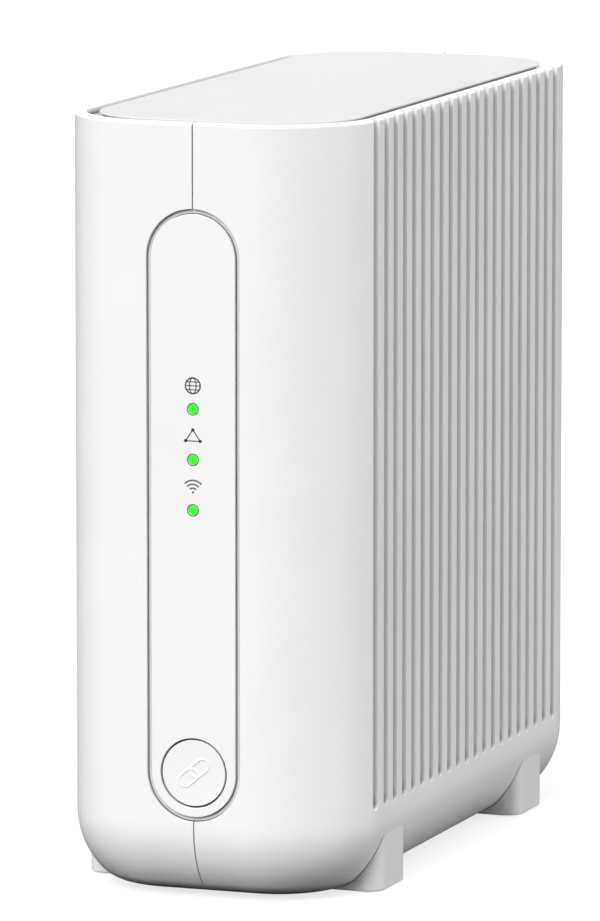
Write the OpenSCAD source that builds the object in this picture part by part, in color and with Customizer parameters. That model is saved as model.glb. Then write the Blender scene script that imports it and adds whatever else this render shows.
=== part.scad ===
// Upright wireless router: two grooved case halves on four feet, a pill-shaped
// front panel with three lights and a pairing button, and the electronics inside.
// Frame: origin on the table under the middle of the case, front face towards -Y,
// width along X, height along +Z, millimetres.

/* [Case] */
// Width of the case, side to side
body_w = 75; // [70:1:95]
// Depth of the case, front to back
body_d = 180; // [172:1:220]
// Height of the top rim above the table
body_h = 184; // [182:1:225]
// Gap between the table and the underside of the case
ground_gap = 1; // [0.8:0.1:1.5]
// Thickness of the case walls
wall = 2.2; // [2:0.1:2.7]
// Radius of the upright corners seen from above
corner_r = 25.5; // [24:0.5:27]
// Reach of the lower edge rounding in from the wall
lower_edge_w = 12.5; // [11:0.5:13]
// Radius of the lower edge rounding beside the wall
lower_side_r = 20.4; // [18:0.1:22]
// Radius of the lower edge rounding beside the underside
lower_under_r = 9.5; // [8:0.1:10.5]
// Width of the top rim
rim_w = 2.8; // [2.8:0.1:3.4]
// Rounding of the rim's outer edge
rim_round = 0.8; // [0.4:0.1:1]
// Gap between the two case halves
seam_gap = 0.35; // [0.2:0.05:0.5]

/* [Side grooves] */
// Number of grooves on each side
groove_count = 21; // [9:2:21]
// Distance from the front of the case to the first groove
groove_front_in = 22.5; // [20:0.5:26]
// Distance between neighbouring grooves
groove_pitch = 6.5; // [5:0.1:6.5]
// Radius of the groove's round floor
groove_r = 1.5; // [1.4:0.05:1.7]
// Depth of a groove below the side face
groove_depth = 1.4; // [0.8:0.05:1.4]
// Height above the table where the grooves end
groove_tip_z = 20.6; // [20:0.5:40]

/* [Top] */
// Depth of the channel round the top cover
channel_depth = 1.6; // [1:0.1:2.5]
// Width of the channel along the sides
channel_side_w = 2.7; // [1.5:0.1:4]
// Width of the channel at the front and the back
channel_end_w = 3.6; // [2:0.1:5]
// Thickness of the tray under the top cover
tray_t = 2.4; // [2:0.1:3]
// Thickness of the top cover's overhanging lip
cover_lip_t = 0.6; // [0.5:0.1:0.8]
// Reach of the lip beyond the top cover's foot
cover_lip_w = 0.8; // [0.4:0.1:1]
// Depth of the tray pocket that the top cover sits in
pocket_depth = 1; // [0.6:0.1:1.2]
// Reach of the ledge that carries the tray
ledge_w = 3.2; // [2:0.1:5]
// Thickness of the ledge that carries the tray
ledge_t = 1.8; // [1.5:0.1:2.5]

/* [Front panel] */
// Width of the pill-shaped opening
pill_w = 23.2; // [22:0.1:23.6]
// Height of the pill-shaped opening
pill_h = 144.5; // [130:0.5:145]
// Height above the table of the opening's lower end
pill_z = 19.4; // [19:0.1:24]
// Width of the trim ring's channel between the case and the panel
trim_w = 1.15; // [0.9:0.05:1.3]
// Depth of the trim ring's face below the front
trim_recess = 1; // [0.5:0.1:1.2]
// Thickness of the panel's rear flange
flange_t = 1.5; // [1:0.1:2]
// Overlap of the panel's rear flange behind the case wall
flange_lap = 1.8; // [1:0.1:2]
// Radius of the pairing button's hole
button_hole_r = 8.28; // [6:0.01:8.5]
// Gap round the pairing button
button_gap = 0.45; // [0.2:0.01:0.5]
// Travel of the pairing button
button_travel = 0.5; // [0.3:0.05:0.6]
// Radius of a light's lens
lens_r = 1.1; // [0.8:0.05:1.5]
// Distance between neighbouring lights
lens_pitch = 11.9; // [9:0.1:14]
// Height above the table of the lowest light
lens_low_z = 93.3; // [80:0.1:100]
// Number of lights
lens_count = 3; // [1:1:4]

/* [Feet] */
// Length of a foot, front to back
foot_len = 20.5; // [16:0.5:24]
// Distance from the front of the case to the front feet
foot_front_in = 25.3; // [25:0.1:30]
// Distance from the back of the case to the rear feet
foot_rear_in = 32.5; // [30:0.1:40]
// Height of a foot's outer face above the table
foot_h = 13.6; // [12:0.1:16]
// Inset of a foot's outer face from the case side
foot_inset = 0.35; // [0.3:0.05:1]
// Reach of a foot in under the case
foot_reach = 12; // [10:0.5:12.5]
// Radius of a foot's outer upright corners
foot_corner_r = 4.3; // [2:0.1:6]
// Height of the rubber pad below the foot
pad_proud = 0.3; // [0.2:0.1:0.5]
// Thickness of the rubber pad
pad_t = 0.8; // [0.7:0.1:1]

/* [Rear recess] */
// Width of the recess in the back that holds the sockets
alcove_w = 46; // [40:1:46]
// Height of the recess
alcove_h = 132; // [128:1:134]
// Height above the table of the recess's lower edge
alcove_z = 22; // [20:1:24]
// Depth of the socket panel below the back of the case
alcove_depth = 11; // [8:0.5:12]
// Thickness of the socket panel
panel_t = 2; // [1.5:0.1:2.5]

/* [Sockets] */
// Width of a network socket's housing
jack_w = 16; // [15.5:0.1:16.2]
// Height of a network socket's housing off its board
jack_h = 13.4; // [13:0.1:13.6]
// Length of a network socket's housing
jack_len = 20; // [18:0.1:22]
// Width of the opening that takes the plug
jack_open_w = 11.9; // [11.7:0.1:12.2]
// Height of the opening that takes the plug
jack_open_h = 7; // [6.8:0.1:7.4]
// Width of the slot that takes the plug's latch
jack_latch_w = 6.2; // [6:0.1:6.6]
// Depth of the slot that takes the plug's latch
jack_latch_h = 2; // [1.6:0.1:2.4]
// Depth of the opening that takes the plug
jack_depth = 13; // [12:0.1:15]
// Distance between neighbouring network sockets
jack_pitch = 17; // [16.5:0.1:17.5]
// Number of network sockets for local devices
lan_count = 4; // [4:1:4]
// Radius of the power inlet's bore
inlet_bore_r = 3.15; // [3:0.05:3.2]
// Radius of the power inlet's pin
inlet_pin_r = 1.05; // [0.8:0.05:1.25]
// Depth of the power inlet's bore
inlet_depth = 10; // [9:0.1:11]
// Length of the power inlet's pin inside its bore
inlet_pin_len = 8.5; // [7:0.1:9]
// Travel of the power button
power_travel = 2; // [1:0.1:2.5]
// Travel of the reset pin
reset_travel = 0.4; // [0.3:0.05:0.5]

/* [Boards] */
// Thickness of the main board
board_t = 1.6; // [1.2:0.1:2]
// Length of the main board, front to back
board_len = 140; // [136:1:144]
// Height of the main board
board_h = 138; // [134:1:142]
// Height above the table of the main board's lower edge
board_z = 20; // [18:1:22]
// Thickness of the frame that carries the main board
frame_t = 2.6; // [2:0.1:3]
// Number of fins on the heat sink
fin_count = 9; // [5:1:11]
// Thickness of a fin
fin_t = 1.4; // [1:0.1:2]
// Height of a fin above the heat sink's base
fin_h = 22; // [12:1:26]

/* [Hidden] */
$fn = 96;
eps = 0.01;
cut = 1;
far = 400;

half_w = body_w / 2;
half_d = body_d / 2;
front_y = -half_d;
back_y = half_d;
base_z = ground_gap;
inner_x = half_w - wall;
inner_front_y = front_y + wall;

// Clearance between pieces that sit side by side in the same body
sit_gap = 0.15;
// Clearance between pieces on different bodies
move_gap = 0.35;

// Lower edge rounding: the height of the two tangent arcs together
lower_edge_h = lower_under_r
    + sqrt(pow(lower_side_r - lower_under_r, 2) - pow(lower_side_r - lower_edge_w, 2));

// Top
seat_z = body_h - channel_depth - tray_t;
tray_top_z = body_h - channel_depth;
cover_bottom_z = tray_top_z - pocket_depth;
cover_round = 0.2;
cover_in_x = rim_w + channel_side_w;
cover_in_y = rim_w + channel_end_w;
cover_corner_r = corner_r - cover_in_x;
cover_lip_z = body_h - cover_lip_t;

// Front panel
pill_r = pill_w / 2;
pill_low_z = pill_z + pill_r;
pill_high_z = pill_z + pill_h - pill_r;
panel_r = pill_r - trim_w;
flange_r = pill_r + flange_lap;
button_z = pill_low_z;
button_r = button_hole_r - button_gap;
button_flange_r = button_r + 1.4;
button_flange_t = 1;
button_inset = 0.15;
button_post_r = 2.4;
trim_t = wall - trim_recess - sit_gap;

// Front board, behind the panel
front_board_t = 1.2;
front_board_w = 17;
front_board_y = front_y + 11;
front_board_low_z = pill_z + 3;
front_board_high_z = lens_low_z + (lens_count - 1) * lens_pitch + 9;
led_t = 0.8;
led_w = 1.6;
led_h = 3;
switch_w = 6;
switch_t = 3.4;
switch_face_y = front_board_y - switch_t;
plunger_r = 1.7;
plunger_len = 1.4;
plunger_proud = 0.9;
flange_back_y = inner_front_y + sit_gap + flange_t;

// Feet
foot_outer_x = half_w - foot_inset;
foot_inner_x = foot_outer_x - foot_reach;
foot_bottom_z = pad_proud;
foot_y_front = front_y + foot_front_in + foot_len / 2;
foot_y_rear = back_y - foot_rear_in - foot_len / 2;
pad_margin = 2.6;
foot_peg_x = foot_inner_x + 4;
foot_peg_r = 2;
foot_peg_len = 4;

// Rear recess and the socket panel
alcove_floor_y = back_y - alcove_depth;
alcove_wall = 1.8;
alcove_high_z = alcove_z + alcove_h;
panel_lap = 2.4;
panel_back_y = alcove_floor_y - panel_t;

// Main board: upright, with its parts on the +X face, so that the sockets centre on X = 0
board_face_x = -jack_h / 2;
board_back_x = board_face_x - board_t;
board_back_y = panel_back_y - 1.2;
board_front_y = board_back_y - board_len;
frame_face_x = board_back_x - 2.2;

// Sockets
jack_proud = 0.8;
jack_face_y = alcove_floor_y + jack_proud;
inlet_z = alcove_z + 9;
power_z = inlet_z + 15.5;
lan_low_z = power_z + 16.5;
wan_z = lan_low_z + lan_count * jack_pitch + 3;
reset_z = wan_z + 13.5;
jack_open_x = board_face_x + 2.6;
contact_count = 8;
contact_pitch = 1.02;
contact_w = 0.4;
contact_t = 0.3;
contact_lift = 0.9;
inlet_w = 9.4;
inlet_h = 11;
inlet_len = 14.4;
inlet_axis_x = board_face_x + 6.5;
power_r = 3.6;
power_hole_r = power_r + move_gap;
power_proud = 2.6;
power_axis_x = 0;
power_cap_len = power_proud + panel_t + 1.6;
power_stem_r = 1.3;
power_switch_w = 8;
power_switch_len = 9;
reset_r = 1;
reset_hole_r = 0.8;
reset_axis_x = 0;

// Screws
screw_r = 1.4;
screw_head_r = 2.7;
screw_head_t = 1.6;
screw_clear_r = 1.7;

// ---------- Helpers ----------

// Plan outline with round corners, inset by in_x at the sides and in_y at the ends
module plan_outline(in_x, in_y, r) {
    w = body_w - 2 * in_x;
    d = body_d - 2 * in_y;
    square([w - 2 * r, d], center = true);
    square([w, d - 2 * r], center = true);
    for (sx = [-1, 1], sy = [-1, 1])
        translate([sx * (w / 2 - r), sy * (d / 2 - r)]) circle(r);
}

// Half of an upright section of the case, from its middle out to half - inset.
// The lower edge is two tangent arcs, and both keep their centres at every inset.
module half_section(half, inset, top, top_round) {
    arc_top = base_z + lower_edge_h;
    side_c = [half - lower_side_r, arc_top];
    under_c = [half - lower_edge_w, base_z + lower_under_r];
    towards = (under_c - side_c) / norm(under_c - side_c);
    square_low = base_z + inset;
    translate([0, square_low]) square([under_c[0], arc_top - square_low]);
    translate([0, arc_top]) square([half - inset, top - top_round - arc_top]);
    intersection() {
        translate(side_c) circle(lower_side_r - inset);
        polygon([side_c, side_c + towards * far, [side_c[0] + far, arc_top]]);
    }
    intersection() {
        translate(under_c) circle(lower_under_r - inset);
        translate([under_c[0], 0]) square([far, arc_top]);
    }
    if (top_round > 0) {
        translate([0, top - top_round]) square([half - inset - top_round, top_round]);
        translate([half - inset - top_round, top - top_round]) circle(top_round);
    }
}

module full_section(half, inset, top, top_round) {
    half_section(half, inset, top, top_round);
    mirror([1, 0]) half_section(half, inset, top, top_round);
}

// The case as one solid, inset from its outer skin
module case_solid(inset, top, top_round) {
    rotate([90, 0, 0]) linear_extrude(body_d - 2 * corner_r, center = true)
        full_section(half_w, inset, top, top_round);
    rotate([90, 0, 90]) linear_extrude(body_w - 2 * corner_r, center = true)
        full_section(half_d, inset, top, top_round);
    for (quarter = [0:3]) {
        sx = quarter == 0 || quarter == 3 ? 1 : -1;
        sy = quarter < 2 ? 1 : -1;
        translate([sx * (half_w - corner_r), sy * (half_d - corner_r), 0]) rotate([0, 0, 90 * quarter])
            rotate_extrude(angle = 90) half_section(corner_r, inset, top, top_round);
    }
}

// Pill shape standing in the front wall, r from its spine, between two depths
module pill(r, y0, y1) {
    translate([0, y1, 0]) rotate([90, 0, 0]) linear_extrude(y1 - y0) {
        translate([-r, pill_low_z]) square([2 * r, pill_high_z - pill_low_z]);
        translate([0, pill_low_z]) circle(r);
        translate([0, pill_high_z]) circle(r);
    }
}

// Round bar along Y
module bar_y(r, x, z, y0, y1) {
    translate([x, y0, z]) rotate([-90, 0, 0]) cylinder(r = r, h = y1 - y0);
}

// Round bar along X
module bar_x(r, y, z, x0, x1) {
    translate([x0, y, z]) rotate([0, 90, 0]) cylinder(r = r, h = x1 - x0);
}

// Box between two corners
module block(low, high) {
    translate(low) cube(high - low);
}

// Chip soldered on the +X face of the main board
module chip(y, z, len, high, t) {
    lift = 0.1;
    translate([board_face_x + lift, y - len / 2, z - high / 2]) cube([t, len, high]);
}

// Countersunk-free screw along +Z with its head below
module screw_up(len) {
    cylinder(r = screw_head_r, h = screw_head_t);
    translate([0, 0, screw_head_t - eps]) cylinder(r = screw_r, h = len);
}

// ---------- Case ----------

module groove_cuts() {
    chord = sqrt(groove_r * groove_r - pow(groove_r - groove_depth, 2));
    axis_x = half_w + groove_r - groove_depth;
    low = groove_tip_z + chord;
    for (side = [-1, 1], i = [0:groove_count - 1]) {
        y = front_y + groove_front_in + i * groove_pitch;
        translate([side * axis_x, y, low]) {
            cylinder(r = groove_r, h = body_h, $fn = 32);
            sphere(r = groove_r, $fn = 32);
        }
    }
}

// Vent slots through the underside
vent_count = 9;
vent_pitch = 9;
vent_w = 3;
vent_x0 = 7;
vent_x1 = 20;
module vent_cuts() {
    for (side = [-1, 1], i = [0:vent_count - 1]) {
        y = (i - (vent_count - 1) / 2) * vent_pitch;
        x0 = side > 0 ? vent_x0 : -vent_x1;
        block([x0, y - vent_w / 2, -cut], [x0 + vent_x1 - vent_x0, y + vent_w / 2, base_z + wall + cut]);
    }
}

// Places of the screws that hold the case halves to the frame
boss_t = 1.6;
case_screw_x = 14;
case_screw_y = half_d - 32;
case_screw_z = base_z + 0.5;
module case_screw_places() {
    for (side = [-1, 1], end = [-1, 1]) translate([side * case_screw_x, end * case_screw_y, 0]) children();
}

// Places of the pegs on top of the feet
module foot_places() {
    for (side = [-1, 1], y = [foot_y_front, foot_y_rear]) translate([side * foot_peg_x, y, 0]) children();
}

module alcove_box(margin, y0) {
    half = alcove_w / 2 + margin;
    block([-half, y0, alcove_z - margin], [half, back_y + cut, alcove_high_z + margin]);
}

module case_shell() {
    difference() {
        union() {
            difference() {
                case_solid(0, body_h, rim_round);
                case_solid(wall, seat_z - ledge_t, 0);
            }
            intersection() {
                case_solid(0, body_h, rim_round);
                alcove_box(alcove_wall, alcove_floor_y);
            }
            case_screw_places() translate([0, 0, base_z + wall - eps])
                cylinder(r = screw_head_r + 1.2, h = boss_t);
        }
        translate([0, 0, seat_z]) linear_extrude(body_h) plan_outline(rim_w, rim_w, corner_r - rim_w);
        ledge_in = rim_w + ledge_w;
        translate([0, 0, seat_z - ledge_t - cut]) linear_extrude(body_h)
            plan_outline(ledge_in, ledge_in, corner_r - ledge_in);
        groove_cuts();
        vent_cuts();
        pill(pill_r, front_y - cut, inner_front_y + cut);
        alcove_box(0, alcove_floor_y - cut);
        case_screw_places() {
            translate([0, 0, -cut]) cylinder(r = screw_clear_r, h = 10);
            translate([0, 0, -cut])
                cylinder(r = screw_head_r + 0.3, h = case_screw_z + screw_head_t + 0.1 + cut);
        }
        foot_places() translate([0, 0, -cut]) cylinder(r = foot_peg_r + sit_gap, h = 12);
    }
}

module case_half(side) {
    color("white") intersection() {
        case_shell();
        x0 = side > 0 ? seam_gap / 2 : -body_w;
        translate([x0, -body_d, -cut]) cube([body_w - seam_gap / 2, 2 * body_d, body_h + 2 * cut]);
    }
}
module case_left() case_half(-1);
module case_right() case_half(1);

// Tray in the top of the case: the white floor of the channel round the cover
module top_tray() {
    edge = rim_w + sit_gap;
    pocket_x = cover_in_x + cover_lip_w - sit_gap;
    pocket_y = cover_in_y + cover_lip_w - sit_gap;
    color("white") difference() {
        translate([0, 0, seat_z + sit_gap / 2]) linear_extrude(tray_t - sit_gap / 2)
            plan_outline(edge, edge, corner_r - edge);
        translate([0, 0, cover_bottom_z - sit_gap]) linear_extrude(tray_t)
            plan_outline(pocket_x, pocket_y, corner_r - pocket_x);
    }
}

module top_cover() {
    color("gainsboro") {
        translate([0, 0, cover_bottom_z]) linear_extrude(cover_lip_z - cover_bottom_z + eps)
            plan_outline(cover_in_x + cover_lip_w, cover_in_y + cover_lip_w, cover_corner_r - cover_lip_w);
        translate([0, 0, cover_lip_z]) linear_extrude(cover_lip_t - cover_round)
            plan_outline(cover_in_x, cover_in_y, cover_corner_r);
        translate([0, 0, body_h - cover_round - eps]) linear_extrude(cover_round + eps)
            plan_outline(cover_in_x + cover_round, cover_in_y + cover_round, cover_corner_r - cover_round);
    }
}

// ---------- Front panel ----------

module lens_places() {
    for (i = [0:lens_count - 1]) translate([0, 0, lens_low_z + i * lens_pitch]) children();
}

// Posts on the back of the panel that carry the front board
post_r = 2.2;
post_x = 6;
module front_post_places() {
    for (side = [-1, 1], z = [front_board_low_z + 22, front_board_high_z - 4])
        translate([side * post_x, 0, z]) children();
}

module front_panel() {
    color("white") difference() {
        union() {
            pill(panel_r, front_y, inner_front_y + sit_gap + eps);
            pill(flange_r, inner_front_y + sit_gap, flange_back_y);
            front_post_places() bar_y(post_r, 0, 0, flange_back_y - eps, front_board_y);
        }
        bar_y(button_hole_r, 0, button_z, front_y - cut, flange_back_y + cut);
        bar_y(button_flange_r + move_gap, 0, button_z, inner_front_y, flange_back_y + cut);
        lens_places() bar_y(lens_r + sit_gap, 0, 0, front_y - cut, flange_back_y + cut);
    }
}

module trim_ring() {
    color("lightgrey") difference() {
        pill(pill_r - sit_gap, front_y + trim_recess, front_y + trim_recess + trim_t);
        pill(panel_r + sit_gap, front_y - cut, front_y + wall + cut);
    }
}

module pairing_button() {
    face_y = front_y + button_inset;
    flange_y = inner_front_y + move_gap;
    post_end_y = switch_face_y - plunger_proud - move_gap;
    color("white") {
        bar_y(button_r, 0, button_z, face_y, flange_y + eps);
        bar_y(button_flange_r, 0, button_z, flange_y, flange_y + button_flange_t);
        bar_y(button_post_r, 0, button_z, flange_y + button_flange_t - eps, post_end_y);
    }
}

// Clear light guide: three rods joined by a thin web behind the panel
web_gap = 0.3;
web_t = 1;
web_w = 3;
module light_guide() {
    lens_face_y = front_y + 0.2;
    rod_end_y = front_board_y - led_t - 0.4;
    web_y = flange_back_y + web_gap;
    color("lime") {
        lens_places() bar_y(lens_r, 0, 0, lens_face_y, rod_end_y);
        block(
            [-web_w / 2, web_y, lens_low_z - web_w / 2],
            [web_w / 2, web_y + web_t, lens_low_z + (lens_count - 1) * lens_pitch + web_w / 2]
        );
    }
}

// Black block that keeps each light's glow to its own rod
module light_shroud() {
    shroud_y = flange_back_y + web_gap + web_t + sit_gap;
    reach = 3.4;
    top_z = lens_low_z + (lens_count - 1) * lens_pitch;
    color("dimgrey") difference() {
        block([-reach, shroud_y, lens_low_z - reach], [reach, front_board_y - sit_gap, top_z + reach]);
        lens_places() {
            bar_y(lens_r + sit_gap, 0, 0, shroud_y - cut, front_board_y);
            block([-led_w - 0.4, front_board_y - led_t - 0.3, -led_w - 0.4],
                [led_w + 0.4, front_board_y, led_w + 0.4]);
        }
    }
}

module front_board() {
    half = front_board_w / 2;
    color("darkgreen") difference() {
        block([-half, front_board_y, front_board_low_z],
            [half, front_board_y + front_board_t, front_board_high_z]);
        for (side = [-1, 1])
            bar_y(1, side * post_x, front_board_low_z + 5,
                front_board_y - cut, front_board_y + front_board_t + cut);
    }
}

module status_leds() {
    color("palegreen") lens_places()
        block([-led_h / 2, front_board_y - led_t, -led_w / 2], [led_h / 2, front_board_y - 0.05, led_w / 2]);
}

module pairing_switch() {
    half = switch_w / 2;
    color("dimgrey") difference() {
        block([-half, switch_face_y, button_z - half], [half, front_board_y - 0.05, button_z + half]);
        bar_y(plunger_r + move_gap, 0, button_z, switch_face_y - cut, switch_face_y + plunger_len + cut);
    }
}

module pairing_plunger() {
    color("black")
        bar_y(plunger_r, 0, button_z, switch_face_y - plunger_proud, switch_face_y + plunger_len - button_travel);
}

// Flat cable from the front board to the main board
module front_ribbon() {
    t = 0.3;
    w = 8;
    z0 = button_z + 24;
    y0 = front_board_y + front_board_t + 0.2;
    y1 = board_front_y + 8;
    bend = 3;
    x0 = board_face_x + 0.6;
    color("ivory") {
        block([x0, y0, z0], [4, y0 + t, z0 + w]);
        block([x0, y0, z0], [x0 + t, y1, z0 + w]);
        block([x0, y1 - bend, z0 - 0.8], [x0 + 2, y1, z0 + w + 0.8]);
    }
}

// ---------- Rear panel and sockets ----------

function lan_z(i) = lan_low_z + i * jack_pitch;

module panel_windows() {
    grow = sit_gap + 0.1;
    for (z = [for (i = [0:lan_count - 1]) lan_z(i), wan_z])
        block(
            [board_face_x - grow, panel_back_y - cut, z - jack_w / 2 - grow],
            [board_face_x + jack_h + grow, alcove_floor_y + cut, z + jack_w / 2 + grow]
        );
    block(
        [board_face_x - grow, panel_back_y - cut, inlet_z - inlet_w / 2 - grow],
        [board_face_x + inlet_h + grow, alcove_floor_y + cut, inlet_z + inlet_w / 2 + grow]
    );
    bar_y(power_hole_r, power_axis_x, power_z, panel_back_y - cut, alcove_floor_y + cut);
    bar_y(reset_hole_r, reset_axis_x, reset_z, panel_back_y - cut, alcove_floor_y + cut);
    for (side = [-1, 1], i = [0:11])
        block(
            [side * 16 - 3.5, panel_back_y - cut, alcove_z + 14 + i * 9],
            [side * 16 + 3.5, alcove_floor_y + cut, alcove_z + 16.4 + i * 9]
        );
}

module rear_panel() {
    reach = alcove_w / 2 + panel_lap - sit_gap;
    color("whitesmoke") difference() {
        block(
            [-reach, panel_back_y - sit_gap, alcove_z - panel_lap + sit_gap],
            [reach, alcove_floor_y - sit_gap, alcove_high_z + panel_lap - sit_gap]
        );
        panel_windows();
    }
}

// Network socket on the main board, opening towards +Y
module socket(z) {
    y0 = jack_face_y - jack_len;
    open_y = jack_face_y - jack_depth;
    difference() {
        block(
            [board_face_x + 0.1, y0, z - jack_w / 2],
            [board_face_x + jack_h, jack_face_y, z + jack_w / 2]
        );
        block(
            [jack_open_x, open_y, z - jack_open_w / 2],
            [jack_open_x + jack_open_h, jack_face_y + cut, z + jack_open_w / 2]
        );
        block(
            [jack_open_x + jack_open_h - eps, open_y, z - jack_latch_w / 2],
            [jack_open_x + jack_open_h + jack_latch_h, jack_face_y + cut, z + jack_latch_w / 2]
        );
    }
}
module wan_socket() color("royalblue") socket(wan_z);
module lan_socket_1() color("gold") socket(lan_z(0));
module lan_socket_2() color("gold") socket(lan_z(1));
module lan_socket_3() color("gold") socket(lan_z(2));
module lan_socket_4() color("gold") socket(lan_z(3));

// Sprung contact wires on the floor of each network socket
module socket_contacts() {
    low_x = jack_open_x + 0.1;
    y1 = jack_face_y - 3;
    y0 = jack_face_y - jack_depth + 0.1;
    color("goldenrod") for (z = [for (i = [0:lan_count - 1]) lan_z(i), wan_z], k = [0:contact_count - 1]) {
        zc = z + (k - (contact_count - 1) / 2) * contact_pitch;
        block([low_x, y0, zc - contact_w / 2], [low_x + contact_t, y1, zc + contact_w / 2]);
        block([low_x, y0, zc - contact_w / 2], [low_x + contact_lift, y0 + contact_t, zc + contact_w / 2]);
    }
}

module power_inlet() {
    color("black") difference() {
        block(
            [board_face_x + 0.1, jack_face_y - inlet_len, inlet_z - inlet_w / 2],
            [board_face_x + inlet_h, jack_face_y, inlet_z + inlet_w / 2]
        );
        bar_y(inlet_bore_r, inlet_axis_x, inlet_z, jack_face_y - inlet_depth, jack_face_y + cut);
    }
}

module power_inlet_pin() {
    y0 = jack_face_y - inlet_depth + 0.05;
    tip = 0.5;
    color("silver") {
        bar_y(inlet_pin_r, inlet_axis_x, inlet_z, y0, y0 + inlet_pin_len - tip);
        translate([inlet_axis_x, y0 + inlet_pin_len - tip - eps, inlet_z]) rotate([-90, 0, 0])
            cylinder(r1 = inlet_pin_r, r2 = inlet_pin_r - 0.35, h = tip);
    }
}

// Latching push button: a round cap on a thin stem
module power_button() {
    cap_y1 = alcove_floor_y + power_proud;
    cap_y0 = cap_y1 - power_cap_len;
    stem_y0 = cap_y0 - 5.5;
    color("dimgrey") {
        bar_y(power_r, power_axis_x, power_z, cap_y0, cap_y1);
        bar_y(power_stem_r, power_axis_x, power_z, stem_y0, cap_y0 + eps);
    }
}

module power_switch() {
    half = power_switch_w / 2;
    y1 = alcove_floor_y + power_proud - power_cap_len - power_travel - 0.6;
    color("whitesmoke") difference() {
        block([board_face_x + 0.1, y1 - power_switch_len, power_z - half],
            [power_axis_x + half, y1, power_z + half]);
        bar_y(power_stem_r + move_gap, power_axis_x, power_z, y1 - power_switch_len + 1, y1 + cut);
    }
}

reset_body_w = 6;
reset_face_y = panel_back_y - 2.6;
module reset_pin() {
    color("black")
        bar_y(reset_r, reset_axis_x, reset_z, reset_face_y - 1, panel_back_y - sit_gap - reset_travel);
}

module reset_switch() {
    half = reset_body_w / 2;
    color("dimgrey") difference() {
        block([board_face_x + 0.1, reset_face_y - 5, reset_z - half],
            [reset_axis_x + half, reset_face_y, reset_z + half]);
        bar_y(reset_r + move_gap, reset_axis_x, reset_z, reset_face_y - 2, reset_face_y + cut);
    }
}

// ---------- Electronics ----------

// Places of the screws that hold the main board to its frame
frame_screw_in = 5;
module frame_screw_places() {
    for (y = [board_front_y + frame_screw_in, board_back_y - 26],
            z = [board_z + frame_screw_in, board_z + board_h - frame_screw_in])
        translate([0, y, z]) children();
}

module main_board() {
    color("darkgreen") difference() {
        block([board_back_x, board_front_y, board_z], [board_face_x, board_back_y, board_z + board_h]);
        frame_screw_places() bar_x(screw_clear_r, 0, 0, board_back_x - cut, board_face_x + cut);
    }
}

// Plastic frame: an upright plate with windows, a foot plate for the case screws,
// and standoffs for the main board
frame_foot_z = base_z + wall + boss_t + 0.2;
frame_foot_t = 3;
module board_frame() {
    back_x = frame_face_x - frame_t;
    y0 = board_front_y - 1;
    y1 = board_back_y - 20;
    top_z = board_z + board_h + 4;
    bar = 10;
    mid_y = (y0 + y1) / 2;
    foot_plate_y = case_screw_y + 6;
    foot_window_y = case_screw_y - 14;
    color("lightgrey") difference() {
        union() {
            block([back_x, y0, frame_foot_z], [frame_face_x, y1, top_z]);
            block([-20, -foot_plate_y, frame_foot_z], [20, foot_plate_y, frame_foot_z + frame_foot_t]);
            frame_screw_places() bar_x(3, 0, 0, frame_face_x - eps, board_back_x - 0.05);
            case_screw_places() translate([0, 0, frame_foot_z]) cylinder(r = 3.4, h = 9);
        }
        block([back_x - cut, y0 + bar, board_z + bar], [frame_face_x + cut, mid_y - bar / 2, top_z - bar]);
        block([back_x - cut, mid_y + bar / 2, board_z + bar], [frame_face_x + cut, y1 - bar, top_z - bar]);
        frame_screw_places() bar_x(screw_r + 0.05, 0, 0, back_x - cut, board_face_x);
        case_screw_places() translate([0, 0, frame_foot_z - cut]) cylinder(r = screw_r + 0.05, h = 9);
        for (side = [-1, 1])
            block(
                [side * 15 - 4, -foot_window_y, frame_foot_z - cut],
                [side * 15 + 4, foot_window_y, frame_foot_z + frame_foot_t + cut]
            );
    }
}

// Places on the main board, measured from its front lower corner
function on_board_y(d) = board_front_y + d;
function on_board_z(d) = board_z + d;
soc_y = on_board_y(42);
soc_z = on_board_z(72);
soc_w = 23;
chip_t = 1.4;
module processor() color("black") chip(soc_y, soc_z, soc_w, soc_w, chip_t);

module memory_chips() {
    color("black") {
        chip(soc_y, soc_z - 26, 12, 9, 1.1);
        chip(soc_y + 17, soc_z - 26, 8, 12, 1.1);
    }
}

radio_y = [on_board_y(20), on_board_y(68)];
radio_z = on_board_z(114);
module radio_chips() color("black") for (y = radio_y) chip(y, radio_z, 11, 11, 1);

module radio_shields() {
    skin = 0.3;
    w = 34;
    h = 26;
    t = 3.2;
    color("silver") for (y = radio_y) difference() {
        chip(y, radio_z, w, h, t);
        translate([board_face_x, y - w / 2 + skin, radio_z - h / 2 + skin])
            cube([t - skin + 0.1, w - 2 * skin, h - 2 * skin]);
    }
}

module socket_transformers() {
    color("dimgrey") for (z = [for (i = [0:lan_count - 1]) lan_z(i), wan_z])
        chip(jack_face_y - jack_len - 9, z, 12, 14, 5.6);
}

coil_y = on_board_y(94);
module power_coils() {
    color("dimgrey") for (i = [0:2]) translate([board_face_x + 0.1, coil_y - i * 12, on_board_z(16)]) {
        rotate([0, 90, 0]) cylinder(r = 4.2, h = 0.8);
        rotate([0, 90, 0]) cylinder(r = 3.2, h = 4.4);
        translate([3.6, 0, 0]) rotate([0, 90, 0]) cylinder(r = 4.2, h = 0.8);
    }
}

module capacitors() {
    color("slategrey") for (i = [0:3])
        bar_x(3.1, on_board_y(44 - i * 9), on_board_z(15), board_face_x + 0.1, board_face_x + 10);
}

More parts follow.
